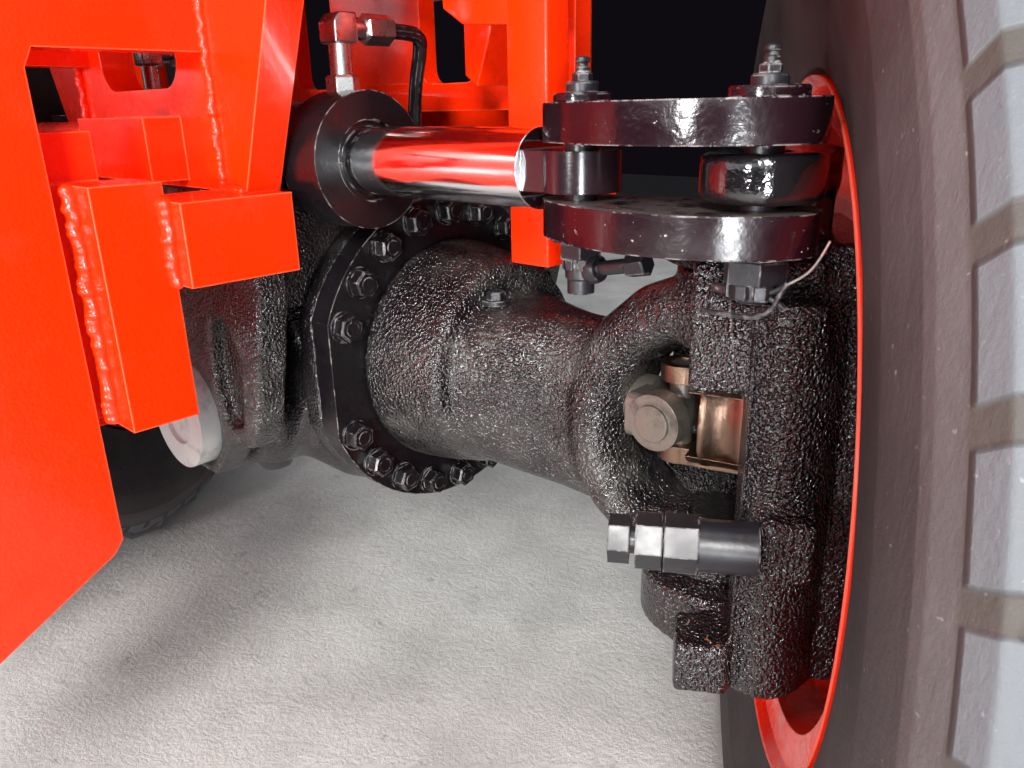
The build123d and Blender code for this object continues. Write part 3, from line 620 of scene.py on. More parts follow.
# %% Trumpet skins
def oval(middle, one, other, power, count=40):
    """A ring round middle, from an ellipse for power 2 to nearly a rectangle for higher powers."""
    ring = []
    for number in range(count):
        angle = math.tau * number / count
        c, s = math.cos(angle), math.sin(angle)
        ring.append(
            middle
            + one * math.copysign(abs(c) ** (2 / power), c)
            + other * math.copysign(abs(s) ** (2 / power), s)
        )
    return ring


def section(x, half, top, bottom, power):
    middle = from_axle(x, 0, (top + bottom) / 2)
    return oval(middle, Vector((0, half, 0)) / 1000, Vector((0, 0, (top - bottom) / 2)) / 1000, power)


def upright(radius, low, high, x=KINGPIN_X):
    width, depth = Vector((radius, 0, 0)) / 1000, Vector((0, radius, 0)) / 1000
    return [oval(from_axle(x, 0, z), width, depth, 2.0) for z in (low, high)]


DRUM = [(163.3, 104), (170, 104), (205, 98), (234, 91), (241, 86)]
BEAM = [(235, 79, 61, -77), (262, 67, 60, -82), (290, 53, 58, -87), (316, 39, 57, -91), (346, 34, 57, -94)]
YOKE_MIDDLE_Z = -8.0
YOKE_ARM = [
    (88, 70, 116, 38), (105, 70, 118, 37), (125, 70, 120, 37), (145, 71, 123, 38), (160, 72, 125, 40),
    (175, 74, 126, 42), (190, 77, 127, 43), (205, 81, 127, 43), (220, 84, 124, 43), (235, 85, 119, 42),
    (250, 81, 110, 40), (265, 74, 104, 39), (273, 71, 103, 38),
]


def yoke_ring(angle, inner, outer, half):
    """One ring of the arm: its angle in degrees, its inner and outer radius and half its width."""
    way = Vector((math.cos(math.radians(angle)), 0, math.sin(math.radians(angle))))
    middle = from_axle(KINGPIN_X, 0, YOKE_MIDDLE_Z) + way * (inner + outer) / 2000
    return oval(middle, way * (outer - inner) / 2000, Vector((0, half, 0)) / 1000, 2.4)


trumpet = bmesh.new()
loft(trumpet, [section(x, radius, radius, -radius, 2.0) for x, radius in DRUM])
loft(trumpet, [section(x, half, top, bottom, 3.0) for x, half, top, bottom in BEAM])
loft(trumpet, [yoke_ring(*numbers) for numbers in YOKE_ARM])
loft(trumpet, upright(40.0, 59, 112))
loft(trumpet, upright(40.0, -112, -75))
bmesh.ops.recalc_face_normals(trumpet, faces=trumpet.faces)

bores = bmesh.new()
loft(bores, upright(22.5, -200, 200))
pocket = [(378, -24, -46), (378, 24, -46), (378, 24, 42), (378, -24, 42)]
loft(bores, [[from_axle(x, y, z) for before, y, z in pocket] for x in (376, 424)])
bmesh.ops.recalc_face_normals(bores, faces=bores.faces)

left_skin = melt(trumpet, 0.0030, 9, bores)
right_skin = left_skin.copy()
for vert in right_skin.vertices:
    vert.co.x = -vert.co.x
right_skin.flip_normals()
skin_for("trumpet_left", left_skin, casting)
skin_for("trumpet_right", right_skin, casting)

# %% [markdown]
# ## The fork's waist
#
# Between the two crosses of the double joint the middle fork has a waist like a saddle. It is one melted loft
# of ovals along the joint's own line, which lies at half the steering angle.

# %% Waist of the middle fork
WAIST = [(20, 35, 37), (24, 34, 38), (31, 30, 37), (37, 28, 36), (43, 30, 37), (49, 34, 38), (53, 35, 37)]
FORK_START_X = KINGPIN_X - 37.0

for name, side in SIDES.items():
    half_turn, up = Matrix.Rotation(STEER_ANGLE / 2, 3, "Z"), Vector((0, 0, 1))
    ahead_of_fork = half_turn @ Vector((side, 0, 0))
    across_fork = half_turn @ Vector((0, 1, 0))
    start = from_axle(side * FORK_START_X, 0, 0)
    waist = bmesh.new()
    loft(waist, [
        oval(start + ahead_of_fork * along / 1000, across_fork * half / 1000, up * tall / 1000, 2.6)
        for along, half, tall in WAIST
    ])
    bmesh.ops.recalc_face_normals(waist, faces=waist.faces)
    body = nodes["middle_fork_" + name]["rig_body"]
    keep_melted("fork_waist_" + name, melt(waist, 0.0016, 4), fork_steel, body)

# %% [markdown]
# ## Floor
#
# The axle stands on a pale concrete floor with faint clouds, a few stains and a fine grit. It could be a plain
# white plane, but concrete sends a mottled light up into the black gloss, and that is half of its look. Far out
# the floor's colour fades to dark: painted shade for the dark surroundings, which also ends it without a hard
# edge.


# %% Floor
def floor():
    half = 6.0
    low = cad_low.z - 0.0005
    mesh = bpy.data.meshes.new("floor")
    corners = [(-half, -half, low), (half, -half, low), (half, half, low), (-half, half, low)]
    mesh.from_pydata(corners, [], [(0, 1, 2, 3)])
    made = add("floor", mesh)
    slab = Finish("pale_floor", 0.001, Specular_IOR_Level=0.2)
    spot = slab.spot
    # Painted shade: the floor's colour darkens with distance to stand in for the dark surroundings.
    painted_far_shade = (spot.part("X") * spot.part("X") + spot.part("Y") * spot.part("Y")).step(5.0, 20.0)
    cloud = spot.grain(5.0, 7.0, 0.65).step(0.3, 0.7)
    stains = spot.grain(26.0, 5.0, 0.7).step(0.60, 0.72) * 0.45
    pale_edge_and_painted_highlight = cloud.blend((0.46, 0.455, 0.435, 1), (0.64, 0.635, 0.61, 1))
    marked = stains.blend(pale_edge_and_painted_highlight, (0.20, 0.18, 0.16, 1))
    slab.paint("Base Color", painted_far_shade.blend(marked, (0.012, 0.011, 0.013, 1)))
    slab.paint("Roughness", cloud * 0.1 + 0.75)
    slab.relief(spot.grain(120.0, 6.0, 0.75), 0.0030)
    mesh.materials.append(slab.material)
    return low


floor_height = floor()
print("floor at", round(floor_height, 3))


# %% [markdown]
# ## Light
#
# Four round lamps stand in for daylight. The three in front are small, so that they strike sparks from the
# rough castings, and the one above is wide. A pale strip of sky low in front draws the long lights on the
# chrome and the link plates. Behind the axle the sky is dark, which leaves the black castings deep.


# %% Light
LAMP_AIM = Vector((0.3, -0.1, -0.45))


def lamp(name, place, size, power, tone):
    data = bpy.data.lights.new(name, "AREA")
    data.shape = "DISK"
    data.size = size
    data.energy = power
    data.color = tone
    made = add(name, data)
    made.location = place
    made.rotation_euler = (LAMP_AIM - Vector(place)).to_track_quat("-Z", "Y").to_euler()


lamp("key", (1.9, -2.3, 1.1), 0.8, 145, (1.0, 0.98, 0.96))
lamp("side", (1.7, -1.8, -0.55), 0.30, 30, (0.93, 0.96, 1.0))
lamp("low", (0.5, -2.6, -0.10), 0.30, 38, (1.0, 1.0, 1.0))
lamp("top", (0.2, -0.9, 2.8), 1.8, 50, (1.0, 1.0, 1.0))

sky = bpy.data.worlds.new("sky")
sky.use_nodes = True
view = Wire(sky.node_tree, sky.node_tree.nodes.new("ShaderNodeTexCoord").outputs["Generated"])
strip = view.part("Y").step(0.30, -0.45) * view.part("Z").step(0.02, 0.06) * view.part("Z").step(0.34, 0.26)
over = view.part("Z").step(0.35, 0.95)
bright = strip + over * 0.20
shade = bright.blend((0.005, 0.004, 0.006, 1), (2.20, 2.30, 2.45, 1))
sky.node_tree.links.new(shade.socket, sky.node_tree.nodes["Background"].inputs["Color"])
sky.node_tree.nodes["Background"].inputs["Strength"].default_value = 0.9
bpy.context.scene.world = sky
bpy.context.scene.view_settings.view_transform = "Standard"
print("lamps:", [lamp.name for lamp in bpy.data.lights])

# %% [markdown]
# ## Bolts, grown on points
#
# Bolts repeat, so they are a job for Geometry Nodes: a point for each bolt, an attribute that says where its
# head faces, and one head copied onto all of them. Any tree here needs the same start and the same end, so two
# helpers come first: one opens a tree with named sizes, the other makes copies real and sets their finish.


# %% A tree's sockets
def new_tree(name, sizes):
    tree = bpy.data.node_groups.new(name, "GeometryNodeTree")
    tree.interface.new_socket("Geometry", in_out="INPUT", socket_type="NodeSocketGeometry")
    tree.interface.new_socket("Geometry", in_out="OUTPUT", socket_type="NodeSocketGeometry")
    for size in sizes:
        tree.interface.new_socket(size, in_out="INPUT", socket_type="NodeSocketFloat")
    tree.interface.new_socket("Finish", in_out="INPUT", socket_type="NodeSocketMaterial")
    given = tree.nodes.new("NodeGroupInput")
    return tree, {socket.name: Wire(tree, socket) for socket in given.outputs if socket.name}


def close_tree(tree, shape, finish):
    solid = shape.node("GeometryNodeRealizeInstances", None, {0: shape})
    painted = shape.node("GeometryNodeSetMaterial", None, {"Geometry": solid, "Material": finish})
    result = tree.nodes.new("NodeGroupOutput")
    tree.links.new(painted.socket, result.inputs[0])


print("tree helpers ready")

# %% [markdown]
# The tree joins a washer, a head and the stub of the bolt's shank. The head's top face is pulled up and scaled
# down by one Extrude and one Scale Elements node. Each joined bolt is aimed by its point's attribute and turned
# by a random angle before the copies are made real.


# %% The bolt tree
def bolt_tree():
    sizes = ("Head radius", "Head height", "Washer radius", "Washer height", "Stub radius", "Stub height")
    tree, given = new_tree("bolts_on_points", sizes)
    start = given["Geometry"]

    def drum(sides, radius, height, low):
        form = {"Vertices": sides, "Radius": radius, "Depth": height}
        raised = start.node("ShaderNodeCombineXYZ", None, {"Z": low + height * 0.5})
        made = start.node("GeometryNodeMeshCylinder", None, form)
        return made.node("GeometryNodeTransform", None, {"Geometry": made, "Translation": raised})

    washer = drum(20, given["Washer radius"], given["Washer height"], 0.0)
    head = drum(6, given["Head radius"], given["Head height"], given["Washer height"])
    facing_up = start.node("GeometryNodeInputNormal").part("Z").maths("GREATER_THAN", 0.9)
    pulled = start.tree.nodes.new("GeometryNodeExtrudeMesh")
    start.tree.links.new(head.socket, pulled.inputs["Mesh"])
    start.tree.links.new(facing_up.socket, pulled.inputs["Selection"])
    start.tree.links.new((given["Head height"] * 0.14).socket, pulled.inputs["Offset Scale"])
    cut = {"Geometry": Wire(tree, pulled.outputs["Mesh"]), "Selection": Wire(tree, pulled.outputs["Top"])}
    head = start.node("GeometryNodeScaleElements", None, {**cut, "Scale": 0.86})
    stub_low = given["Washer height"] + given["Head height"] * 1.1
    stub = drum(16, given["Stub radius"], given["Stub height"], stub_low)
    bolt = tree.nodes.new("GeometryNodeJoinGeometry")
    for part in (washer, head, stub):
        tree.links.new(part.socket, bolt.inputs[0])

    name = {"Name": "facing"}
    facing = start.node("GeometryNodeInputNamedAttribute", {"data_type": "FLOAT_VECTOR"}, name)
    aimed = start.node("FunctionNodeAlignRotationToVector", {"axis": "Z"}, {"Vector": facing})
    full_turn = {2: 0.0, 3: math.tau, "Seed": 4}
    angle = start.node("FunctionNodeRandomValue", {"data_type": "FLOAT"}, full_turn, 1)
    spin = start.node("FunctionNodeAxisAngleToRotation", None, {"Angle": angle})
    space = {"rotation_space": "LOCAL"}
    aimed = start.node("FunctionNodeRotateRotation", space, {"Rotation": aimed, "Rotate By": spin})
    seats = {"Points": start, "Instance": Wire(tree, bolt.outputs[0]), "Rotation": aimed}
    close_tree(tree, start.node("GeometryNodeInstanceOnPoints", None, seats), given["Finish"])
    return tree


bolts = bolt_tree()
print("bolt tree nodes:", len(bolts.nodes))

# %% [markdown]
# The tree's result is turned into one plain mesh for each body, so that it moves with that body. Sizes go in
# through the sockets' identifiers before the object is first worked out.


# %% Grow a tree on points
SHARP_ABOVE = math.radians(32)


def settle(name, mesh, body):
    """Keeps a finished mesh as a piece of the axle that rides on one body."""
    piece = add(name, mesh)
    for face in mesh.polygons:
        face.use_smooth = True
    mesh.set_sharp_from_angle(angle=SHARP_ABOVE)
    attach(piece, body)
    return piece


def grow(name, base, tree, sizes, finish, body):
    """Runs a tree on a base mesh and keeps the result."""
    holder = add(name + "_base", base)
    modifier = holder.modifiers.new("grow", "NODES")
    modifier.node_group = tree
    values = {**sizes, "Finish": finish}
    for item in tree.interface.items_tree:
        if item.in_out == "INPUT" and item.name in values:
            modifier[item.identifier] = values[item.name]
    worked_out = holder.evaluated_get(bpy.context.evaluated_depsgraph_get())
    mesh = bpy.data.meshes.new_from_object(worked_out)
    bpy.data.objects.remove(holder)
    return settle(name, mesh, body)


def bolt_seats(seats):
    """A mesh of bare points, each with the way its bolt faces."""
    mesh = bpy.data.meshes.new("seats")
    mesh.from_pydata([place for place, facing in seats], [], [])
    facing = mesh.attributes.new("facing", "FLOAT_VECTOR", "POINT")
    for value, (place, way) in zip(facing.data, seats):
        value.vector = way
    return mesh


def bolt_sizes(across_flats, height, washer, washer_height=2.5, stub=None, stub_height=0.6):
    """Takes sizes in millimetres and names them as the tree does."""
    corner = across_flats / math.sqrt(3)
    sizes = {"Head radius": corner, "Head height": height, "Washer radius": washer}
    sizes |= {"Washer height": washer_height, "Stub radius": stub or corner * 0.5, "Stub height": stub_height}
    return {name: size / 1000 for name, size in sizes.items()}


print("growing helpers ready")

# %% [markdown]
# A ring of bolts holds each trumpet to the housing. Their heads are 20 mm across the flats. The flange is flat
# at the front and the rear, so there are no bolts there: the ring has nine above and nine below.

# %% Flange bolts
FLANGE_FACE = 163.0
FLANGE_BOLT_CIRCLE = 129.0
TOP_STEP, BOTTOM_STEP = 17.25, 16.7

seats = []
for side in SIDES.values():
    for middle, step in ((90, TOP_STEP), (270, BOTTOM_STEP)):
        for count in range(-4, 5):
            angle = math.radians(middle + count * step)
            y = FLANGE_BOLT_CIRCLE * math.cos(angle)
            z = FLANGE_BOLT_CIRCLE * math.sin(angle)
            seats.append((from_axle(side * FLANGE_FACE, y, z), (side, 0, 0)))
flange_bolts = grow(
    "flange_bolts", bolt_seats(seats), bolts, bolt_sizes(20, 10, 13.5), cylinder_gloss, "axle"
)
print("flange bolts:", len(seats), "faces:", len(flange_bolts.data.polygons))

# %% [markdown]
# The wheel is held by ten nuts on studs, and the planetary gear's cover by eight screws. Both rings lie on
# the wheel's own axle and spin with it.

# %% Wheel nuts and cover screws
DISC_FACE, NUT_CIRCLE = 250.0, 137.5
COVER_FACE, COVER_CIRCLE = 316.0, 92.0


def ring_on_wheel(side, along, radius, count):
    """Seats in a ring round one wheel's own axle."""
    seats = []
    for number in range(count):
        angle = math.tau * (number + 0.5) / count
        back, up = radius * math.cos(angle), radius * math.sin(angle)
        seats.append((from_kingpin(side, along, back, up), wheel_line(side)))
    return bolt_seats(seats)


for name, side in SIDES.items():
    nuts = ring_on_wheel(side, DISC_FACE, NUT_CIRCLE, 10)
    sizes = bolt_sizes(27, 16, 17, 3.0, 9, 10)
    grow("wheel_nuts_" + name, nuts, bolts, sizes, zinc, "wheel_" + name)
    screws = ring_on_wheel(side, COVER_FACE, COVER_CIRCLE, 8)
    sizes = bolt_sizes(13, 5.5, 8.5, 1.5)
    grow("cover_screws_" + name, screws, bolts, sizes, zinc, "wheel_" + name)
print("wheel fasteners on both sides")

# %% [markdown]
# ## Weld beads
#
# The cradle is welded, and each corner between two plates holds a bead. A bead is a row of ripples, one for
# each step of the welder's hand, so a second tree sets flattened balls along lines, each a little different.


# %% The weld tree
def weld_tree():
    tree, given = new_tree("welds_along_lines", ("Step", "Radius"))
    start = given["Geometry"]
    line = start.node("GeometryNodeMeshToCurve", None, {0: start})
    stepped = {"Curve": line, "Length": given["Step"]}
    line = start.node("GeometryNodeResampleCurve", {"mode": "LENGTH"}, stepped)
    ball = start.node("GeometryNodeMeshIcoSphere", None, {"Radius": given["Radius"], "Subdivisions": 2})
    along = start.node("GeometryNodeInputTangent")
    aimed = start.node("FunctionNodeAlignRotationToVector", {"axis": "Z"}, {"Vector": along})
    uneven = {0: (0.75, 0.75, 0.60), 1: (1.25, 1.25, 1.00), "Seed": 11}
    scale = start.node("FunctionNodeRandomValue", {"data_type": "FLOAT_VECTOR"}, uneven)
    seats = {"Points": line, "Instance": ball, "Rotation": aimed, "Scale": scale}
    close_tree(tree, start.node("GeometryNodeInstanceOnPoints", None, seats), given["Finish"])
    return tree


welds = weld_tree()
print("weld tree nodes:", len(welds.nodes))


# %% [markdown]
# The lines follow the cradle's own corners. Those of the corner blocks are heavy, and those round the cross
# plates are light. The balls of each set are then melted together, as real weld is.


# %% Weld lines of the cradle
def line_mesh(lines):
    mesh = bpy.data.meshes.new("weld_lines")
    points, edges = [], []
    for line in lines:
        first = len(points)
        points += [from_axle(*point) for point in line]
        edges += [(first + count, first + count + 1) for count in range(len(line) - 1)]
    mesh.from_pydata(points, edges, [])
    return mesh


def both_sides(lines):
    return lines + [[(-x, y, z) for x, y, z in line] for line in lines]


SIDE_FACE, UNDER_TOP = 120.0, 400.0
heavy = both_sides([
    [(SIDE_FACE + 1, -294, 8), (SIDE_FACE + 1, -294, 168)],
    [(151, -246, 103), (151, -246, 157)],
    [(SIDE_FACE + 2, -246, 5), (SIDE_FACE + 2, -246, 99)],
])
light = both_sides([
    [(124, -187, 160), (150, -187, 160)],
    [(SIDE_FACE + 1, -186, 165), (SIDE_FACE + 1, -186, UNDER_TOP - 3)],
    [(SIDE_FACE + 1, -156, 165), (SIDE_FACE + 1, -156, UNDER_TOP - 3)],
    [(SIDE_FACE + 1, 156, 165), (SIDE_FACE + 1, 156, UNDER_TOP - 3)],
    [(SIDE_FACE + 1, -150, UNDER_TOP - 1), (SIDE_FACE + 1, 56, UNDER_TOP - 1)],
    [(288, -51, UNDER_TOP - 1), (327, -51, UNDER_TOP - 1), (327, 1, UNDER_TOP - 1), (288, 1, UNDER_TOP - 1)],
])
for name, lines, step, radius in (
    ("heavy_welds", heavy, 0.0055, 0.0068), ("light_welds", light, 0.0045, 0.0046)
):
    sizes = {"Step": step, "Radius": radius}
    balls = grow(name, line_mesh(lines), welds, sizes, cradle_paint, "cradle")
    bead = bmesh.new()
    bead.from_mesh(balls.data)
    balls.data = melt(bead, 0.0013, 2)
    balls.data.materials.clear()
    balls.data.materials.append(cradle_paint)
    for face in balls.data.polygons:
        face.use_smooth = True
print("weld lines:", len(heavy) + len(light))

# %% [markdown]
# ## Turned pieces and wire
#
# Nipples, washers and caps are turned parts: an outline swung round an axis. Wire and split pins are a round
# section drawn along a few points. Both are made with small mesh helpers that add to one shape at a time.


# %% Turn an outline round an axis
def turn(shape, outline, seat, axis, sides=32, start=0.0):
    """outline holds pairs of radius and height in millimetres, and ends at radius 0 at both ends."""
    axis = Vector(axis).normalized()
    across = axis.orthogonal().normalized()
    third = axis.cross(across)
    rings = []
    for radius, height in outline:
        middle = seat + axis * height / 1000
        if radius == 0:
            rings.append([shape.verts.new(middle)])
            continue
        ring = []
        for count in range(sides):
            angle = math.tau * count / sides + start
            way = across * math.cos(angle) + third * math.sin(angle)
            ring.append(shape.verts.new(middle + way * radius / 1000))
        rings.append(ring)
    for low, high in zip(rings, rings[1:]):
        for count in range(sides):
            after = (count + 1) % sides
            corners = [ring[place % len(ring)] for ring, place in
                       ((low, count), (low, after), (high, after), (high, count))]
            shape.faces.new(list(dict.fromkeys(corners)))


def keep(name, shape, finish, body):
    """Turns the built shape into a piece of the axle."""
    bmesh.ops.recalc_face_normals(shape, faces=shape.faces)
    mesh = bpy.data.meshes.new(name)
    shape.to_mesh(mesh)
    shape.free()
    mesh.materials.append(finish)
    return settle(name, mesh, body)


def wire(name, lines, radius, finish, body, slot):
    """Draws round wire along each line of points."""
    curve = bpy.data.curves.new(name, "CURVE")
    curve.dimensions = "3D"
    curve.bevel_depth = radius / 1000
    curve.bevel_resolution = 3
    curve.use_fill_caps = True
    for line in lines:
        spline = curve.splines.new("NURBS")
        spline.points.add(len(line) - 1)
        for point, place in zip(spline.points, line):
            point.co = (*place, 1)
        spline.order_u = 3
        spline.use_endpoint_u = True
    holder = add(name + "_line", curve)
    worked_out = holder.evaluated_get(bpy.context.evaluated_depsgraph_get())
    mesh = bpy.data.meshes.new_from_object(worked_out)
    bpy.data.objects.remove(holder)
    mesh.materials.clear()
    mesh.materials.append(finish)
    return settle(name, mesh, body)


print("turning and wire ready")

# %% [markdown]
# Each pair of link plates turns on two pins, one in the knuckle's arm and one in the rod's eye. The left and
# right ones differ, because the rod is drawn to one side at this steering angle, so both are worked out here.

# %% Places of the link pins
ARM_LENGTH, LINK_TOP = 106.0, 216.5
ROD_PIN_Y = -101.0
ROD_PIN_X = {1: 396.7, -1: -283.5}


def arm_pin(side, z):
    return from_kingpin(side, 0, -ARM_LENGTH, z)


def rod_pin(side, z):
    return from_axle(ROD_PIN_X[side], ROD_PIN_Y, z)


print("left pins:", [round(c, 4) for c in arm_pin(1, 0)], [round(c, 4) for c in rod_pin(1, 0)])
print("right pins:", [round(c, 4) for c in arm_pin(-1, 0)], [round(c, 4) for c in rod_pin(-1, 0)])

# %% [markdown]
# Each pin ends in a grease nipple on top: a hexagon at its foot, a thin neck and a small ball on a raised
# collar. A castle nut holds it from below. The nut's slots are left open between six teeth of the crown.

# %% Pins, nuts and nipples of the links
LINK_UNDER = 139.5
PIN_R = 10.0


def nipple(shape, seat, collar, foot, neck, height):
    """A collar, a hexagon and a necked ball, by radii in millimetres."""
    turn(shape, [(0, 0), (collar, 0), (collar, 5), (collar - 1, 6), (0, 6)], seat, (0, 0, 1))
    turn(shape, [(0, 5), (foot, 5), (foot, 10), (foot - 1.5, 11), (0, 11)], seat, (0, 0, 1), 6)
    ball = height - 3
    top = [(0, 10), (neck, 10), (neck, ball - 3), (neck * 0.75, ball - 2), (neck * 0.75, ball - 1)]
    turn(shape, top + [(neck, ball), (neck, ball + 2), (neck * 0.5, height), (0, height)], seat, (0, 0, 1), 20)


def castle_nut(shape, seat, across_flats, height):
    """Six flats, then a slotted crown that points down."""
    corner = across_flats / math.sqrt(3)
    flats = [(0, 0), (corner - 1.5, 0), (corner, -1.5), (corner, -height * 0.62), (0, -height * 0.62)]
    turn(shape, flats, seat, (0, 0, 1), 6, 0.35)
    crown, bore = corner * 0.84, PIN_R * 0.92
    low, high = -height, -height * 0.60
    for number in range(6):
        middle = math.tau * number / 6 + 0.35
        corners = []
        for z in (high, low):
            tooth = ((-0.36, crown), (0.0, crown + 0.8), (0.36, crown), (0.42, bore), (-0.42, bore))
            for angle, radius in tooth:
                way = Vector((math.cos(middle + angle), math.sin(middle + angle), 0))
                corners.append(shape.verts.new(seat + (way * radius + Vector((0, 0, z))) / 1000))
        shape.faces.new(corners[4::-1])
        shape.faces.new(corners[5:])
        for one in range(5):
            after = (one + 1) % 5
            shape.faces.new((corners[one], corners[after], corners[after + 5], corners[one + 5]))


PIN_LOW, WASHER_THICK = 112.0, 3.0

for name, side in SIDES.items():
    heads, nuts = bmesh.new(), bmesh.new()
    for pin, head_outline, flats, height in (
        (arm_pin, [(0, 0), (20, 0), (20, 4.5), (19, 5.5), (0, 5.5)], 30, 21.5),
        (rod_pin, [(0, 0), (17, 0), (17, 4), (16, 5), (0, 5)], 24, 17),
    ):
        tip = LINK_TOP - PIN_LOW
        shank = [(0, 0), (PIN_R - 2, 0), (PIN_R - 0.1, 2), (PIN_R - 0.1, tip), (0, tip)]
        washer = [(0, -WASHER_THICK), (18, -WASHER_THICK), (18, 0), (0, 0)]
        turn(nuts, shank, pin(side, PIN_LOW), (0, 0, 1))
        turn(nuts, washer, pin(side, LINK_UNDER), (0, 0, 1))
        nipple(nuts, pin(side, LINK_TOP + 5), 9.5, 6.0, 4.2, 19.5)
        turn(heads, head_outline, pin(side, LINK_TOP), (0, 0, 1))
        castle_nut(nuts, pin(side, LINK_UNDER - WASHER_THICK), flats, height)
    keep("link_pin_heads_" + name, heads, link_gloss, "link_" + name)
    pins = keep("link_pins_and_nuts_" + name, nuts, bolt_gloss, "link_" + name)
    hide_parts("link_pins_" + name)
print("link pins in place")

# %% [markdown]
# A split pin locks the outer castle nut of each link, and a lock wire runs from under that nut up towards
# the wheel.

# %% Split pins and lock wire
DARK_ROUTE = [
    (487, -108, 108), (506, -110, 108), (520, -109, 109), (527, -108, 115), (529, -107, 123), (532, -106, 128)
]
PALE_ROUTE = [(531, -106, 127), (540, -106, 132), (547, -106, 141), (551, -106, 151)]

for name, side in SIDES.items():
    centre = arm_pin(side, 118)
    wires = []
    for z, bend in ((1.0, 6), (-1.0, -6)):
        ends = [(-22, -4, z), (-16, -6, z), (0, -7, z), (15, -6, z), (20, -3, z + bend)]
        wires.append([centre + Vector(point) / 1000 for point in ends])
    wire("split_pins_" + name, wires, 1.6, bolt_gloss, "link_" + name, "zinc_steel")
    for label, route, radius, finish in (
        ("lock_wire_", DARK_ROUTE, 1.3, bolt_gloss), ("lock_wire_end_", PALE_ROUTE, 0.7, zinc)
    ):
        offsets = [from_axle(*point) - arm_pin(1, 0) for point in route]
        places = [arm_pin(side, 0) + Vector((side * offset.x, offset.y, offset.z)) for offset in offsets]
        wire(label + name, [places], radius, finish, "link_" + name, "zinc_steel")
print("wires in place")

# %% [markdown]
# ## Flat pieces
#
# Flat pieces are cut from plate and have their edges broken. One helper raises an outline into a plate and
# bevels it. Another rounds a polygon off: its curve touches the middle of each side, so it stays inside.


# %% Flat pieces
def plate(shape, outline, low, high, seat, broken, corners=True):
    """seat turns two outline numbers and a height in millimetres into a place."""
    lower = [shape.verts.new(seat(one, other, low)) for one, other in outline]
    upper = [shape.verts.new(seat(one, other, high)) for one, other in outline]
    ends = [shape.faces.new(lower[::-1]), shape.faces.new(upper)]
    sides = []
    for number in range(len(outline)):
        after = (number + 1) % len(outline)
        sides.append(shape.faces.new((lower[number], lower[after], upper[after], upper[number])))
    faces = ends + sides if corners else ends
    edges = list({edge for face in faces for edge in face.edges})
    bmesh.ops.bevel(shape, geom=edges, offset=broken / 1000, segments=3, profile=0.5, affect="EDGES")


def smooth_outline(polygon, steps=6):
    """A quadratic spline that touches the middle of each side."""
    points = []
    for number, corner in enumerate(polygon):
        before, after = polygon[number - 1], polygon[(number + 1) % len(polygon)]
        start = [(a + b) / 2 for a, b in zip(before, corner)]
        end = [(a + b) / 2 for a, b in zip(corner, after)]
        for step in range(steps):
            t = step / steps
            s = 1 - t
            points.append([a * s * s + b * 2 * t * s + c * t * t for a, b, c in zip(start, corner, end)])
    return points


print("flat helpers ready")

# %% [markdown]
# A link plate is a bow of thick steel with round ends, and each side of the axle has two, one above the other.
# The outline is given along the line from the arm's pin to the rod's pin, so the plates always meet both.

# %% Link plates
LINK_OUTLINE = [(-136, 12), (-136, -6), (-120, -22), (-79, -43), (-44, -47), (-12, -43),
                (14, -30), (31, -12), (31, 6), (24, 22), (6, 30), (-112, 30), (-130, 27)]
LINK_LAYERS = ((139.5, 161.5), (194.5, 216.5))

bow = smooth_outline(LINK_OUTLINE)
for name, side in SIDES.items():
    head, tail = arm_pin(side, 0), rod_pin(side, 0)
    along = (head - tail).normalized()
    across = Vector((0, 0, 1)).cross(along) * side
    plates = bmesh.new()
    for low, high in LINK_LAYERS:
        plate(
            plates, bow, low, high,
            lambda one, other, z: head + (along * one + across * other + Vector((0, 0, z))) / 1000,
            2.2, corners=False,
        )
    piece = keep("link_plates_round_" + name, plates, link_gloss, "link_" + name)
    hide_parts("link_plates_" + name)
print("link outline points:", len(bow))

# %% [markdown]
# The cradle's posts, their brackets and a strut are plain plates. The middle and the rear cross plate end
# before the post, so that the view past it stays open: copies of their solids are cut at both ends.

# %% Posts and brackets of the cradle
POST = [(289, -50), (326, -50), (326, -26), (289, -26)]
BRACKET = [(292, 268), (243, 272), (223, 284), (217, 398), (292, 398)]
STRUT = [(186, 240), (200, 231), (216, 270), (222, 300), (186, 300)]

for name, side in SIDES.items():
    post = bmesh.new()
    plate(post, POST, 103, 400, lambda x, y, z: from_axle(side * x, y, z), 1.5)
    plate(post, BRACKET, -48, -30, lambda x, z, y: from_axle(side * x, y, z), 1.5)
    plate(post, STRUT, 8, 60, lambda x, z, y: from_axle(side * x, y, z), 1.5)
    piece = keep("post_and_bracket_" + name, post, cradle_paint, "cradle")
    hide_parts("stop_post_" + name)

for node, half in (("middle_cross_plate", 262), ("rear_cross_plate", 182)):
    shape = copy_of(node)
    for side in (1, -1):
        everything = shape.verts[:] + shape.edges[:] + shape.faces[:]
        place, way = from_axle(side * half, 0, 0), (side, 0, 0)
        sliced = bmesh.ops.bisect_plane(
            shape, geom=everything, dist=0.00001, plane_co=place, plane_no=way, clear_outer=True
        )
        rim = [item for item in sliced["geom_cut"] if isinstance(item, bmesh.types.BMEdge)]
        bmesh.ops.holes_fill(shape, edges=rim, sides=0)
    piece = keep(node + "_short", shape, cradle_paint, "cradle")
    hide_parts(node)
print("posts and middle plate in place")

# %% [markdown]
# ## Fittings
#
# Each end of the steering cylinder has a forged elbow between two hexagons, and a black pipe goes from it to
# the housing. The elbow is a bevelled outline between turned parts, and the pipe is round wire along its route.

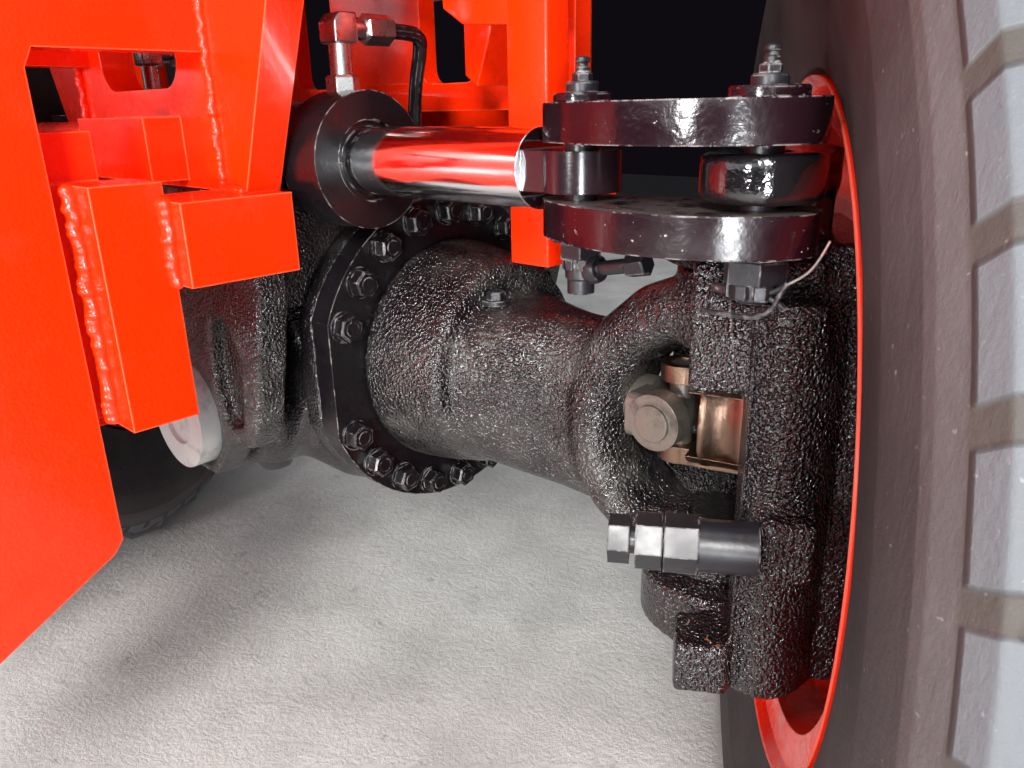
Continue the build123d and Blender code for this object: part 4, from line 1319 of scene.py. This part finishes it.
# %% Elbows and pipes
PORT_X, PORT_Y, PIPE_HEIGHT = 165.0, -101.0, 273.0
ELBOW = [(-111.5, 262), (-90.5, 262), (-90.5, 283.5), (-105, 283.5), (-111.5, 277)]
PIPE = [(165, -58, 273), (165, -35, 273), (164, -20, 270), (158, -16, 258), (148, -14, 235), (138, -10, 200),
        (120, 8, 170), (98, 30, 155), (90, 34, 145), (90, 34, 126)]

for name, side in SIDES.items():
    fitting = bmesh.new()
    port = from_axle(side * PORT_X, PORT_Y, 0)
    up, rear = (0, 0, 1), (0, 1, 0)
    turn(fitting, [(0, 226), (12.7, 226), (12.7, 238), (11.2, 240), (0, 240)], port, up, 6, 0.3)
    turn(fitting, [(0, 238), (8.5, 238), (8.5, 263), (0, 263)], port, up)
    plate(fitting, ELBOW, -10.5, 10.5, lambda y, z, x: from_axle(side * (PORT_X + x), y, z), 1.8)
    elbow = port + Vector((0, 0, PIPE_HEIGHT / 1000))
    turn(fitting, [(0, 9), (8, 9), (8, 24), (0, 24)], elbow, rear)
    turn(fitting, [(0, 22), (10, 22), (11.5, 23.5), (11.5, 46.5), (10, 48), (0, 48)], elbow, rear, 6, 0.2)
    piece = keep("elbow_" + name, fitting, zinc, "axle")
    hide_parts("steering_pipe_" + name)
    route = [from_axle(side * x, y, z) for x, y, z in PIPE]
    wire("pipe_" + name, [route], 6.0, cylinder_gloss, "axle", "black_steel")
    foot = bmesh.new()
    outline = [(0, 107), (12.7, 107), (12.7, 124), (11, 126), (8.5, 134), (0, 134)]
    turn(foot, outline, from_axle(side * 90, 34, 0), up, 6)
    keep("pipe_foot_" + name, foot, bolt_gloss, "axle")

print("elbows and pipes in place")

# %% [markdown]
# A small plug sits on each trumpet, and a pressure fitting hangs under each rod pin: a short drum with a branch
# that points outwards and a little up.

# %% Plugs and pressure fittings
PLUG_PLACE = (247, -25, 60)

for name, side in SIDES.items():
    plug, seat = bmesh.new(), from_axle(side * PLUG_PLACE[0], *PLUG_PLACE[1:])
    turn(plug, [(0, 0), (12, 0), (12, 4), (0, 4)], seat, up)
    turn(plug, [(0, 4), (7.5, 4), (7.5, 10), (6.5, 11), (0, 11)], seat, up, 6)
    keep("plug_" + name, plug, bolt_gloss, "axle")

    drop, under = bmesh.new(), rod_pin(side, 0)
    root, outwards = under + Vector((side * 6, 0, 119)) / 1000, (side, 0, 0.2)
    turn(drop, [(0, 104), (8.5, 104), (8.5, 121), (0, 121)], under, up)
    branch = [(0, 0), (8, 0), (9, 3), (9, 6), (8, 9), (4.5, 9), (4.5, 38), (0, 38)]
    turn(drop, branch, root, outwards)
    turn(drop, [(0, 30), (6.5, 30), (7.5, 31), (7.5, 43), (6.5, 44), (0, 44)], root, outwards, 6)
    keep("rod_pin_fitting_" + name, drop, bolt_gloss, "link_" + name)
print("plugs and fittings in place")
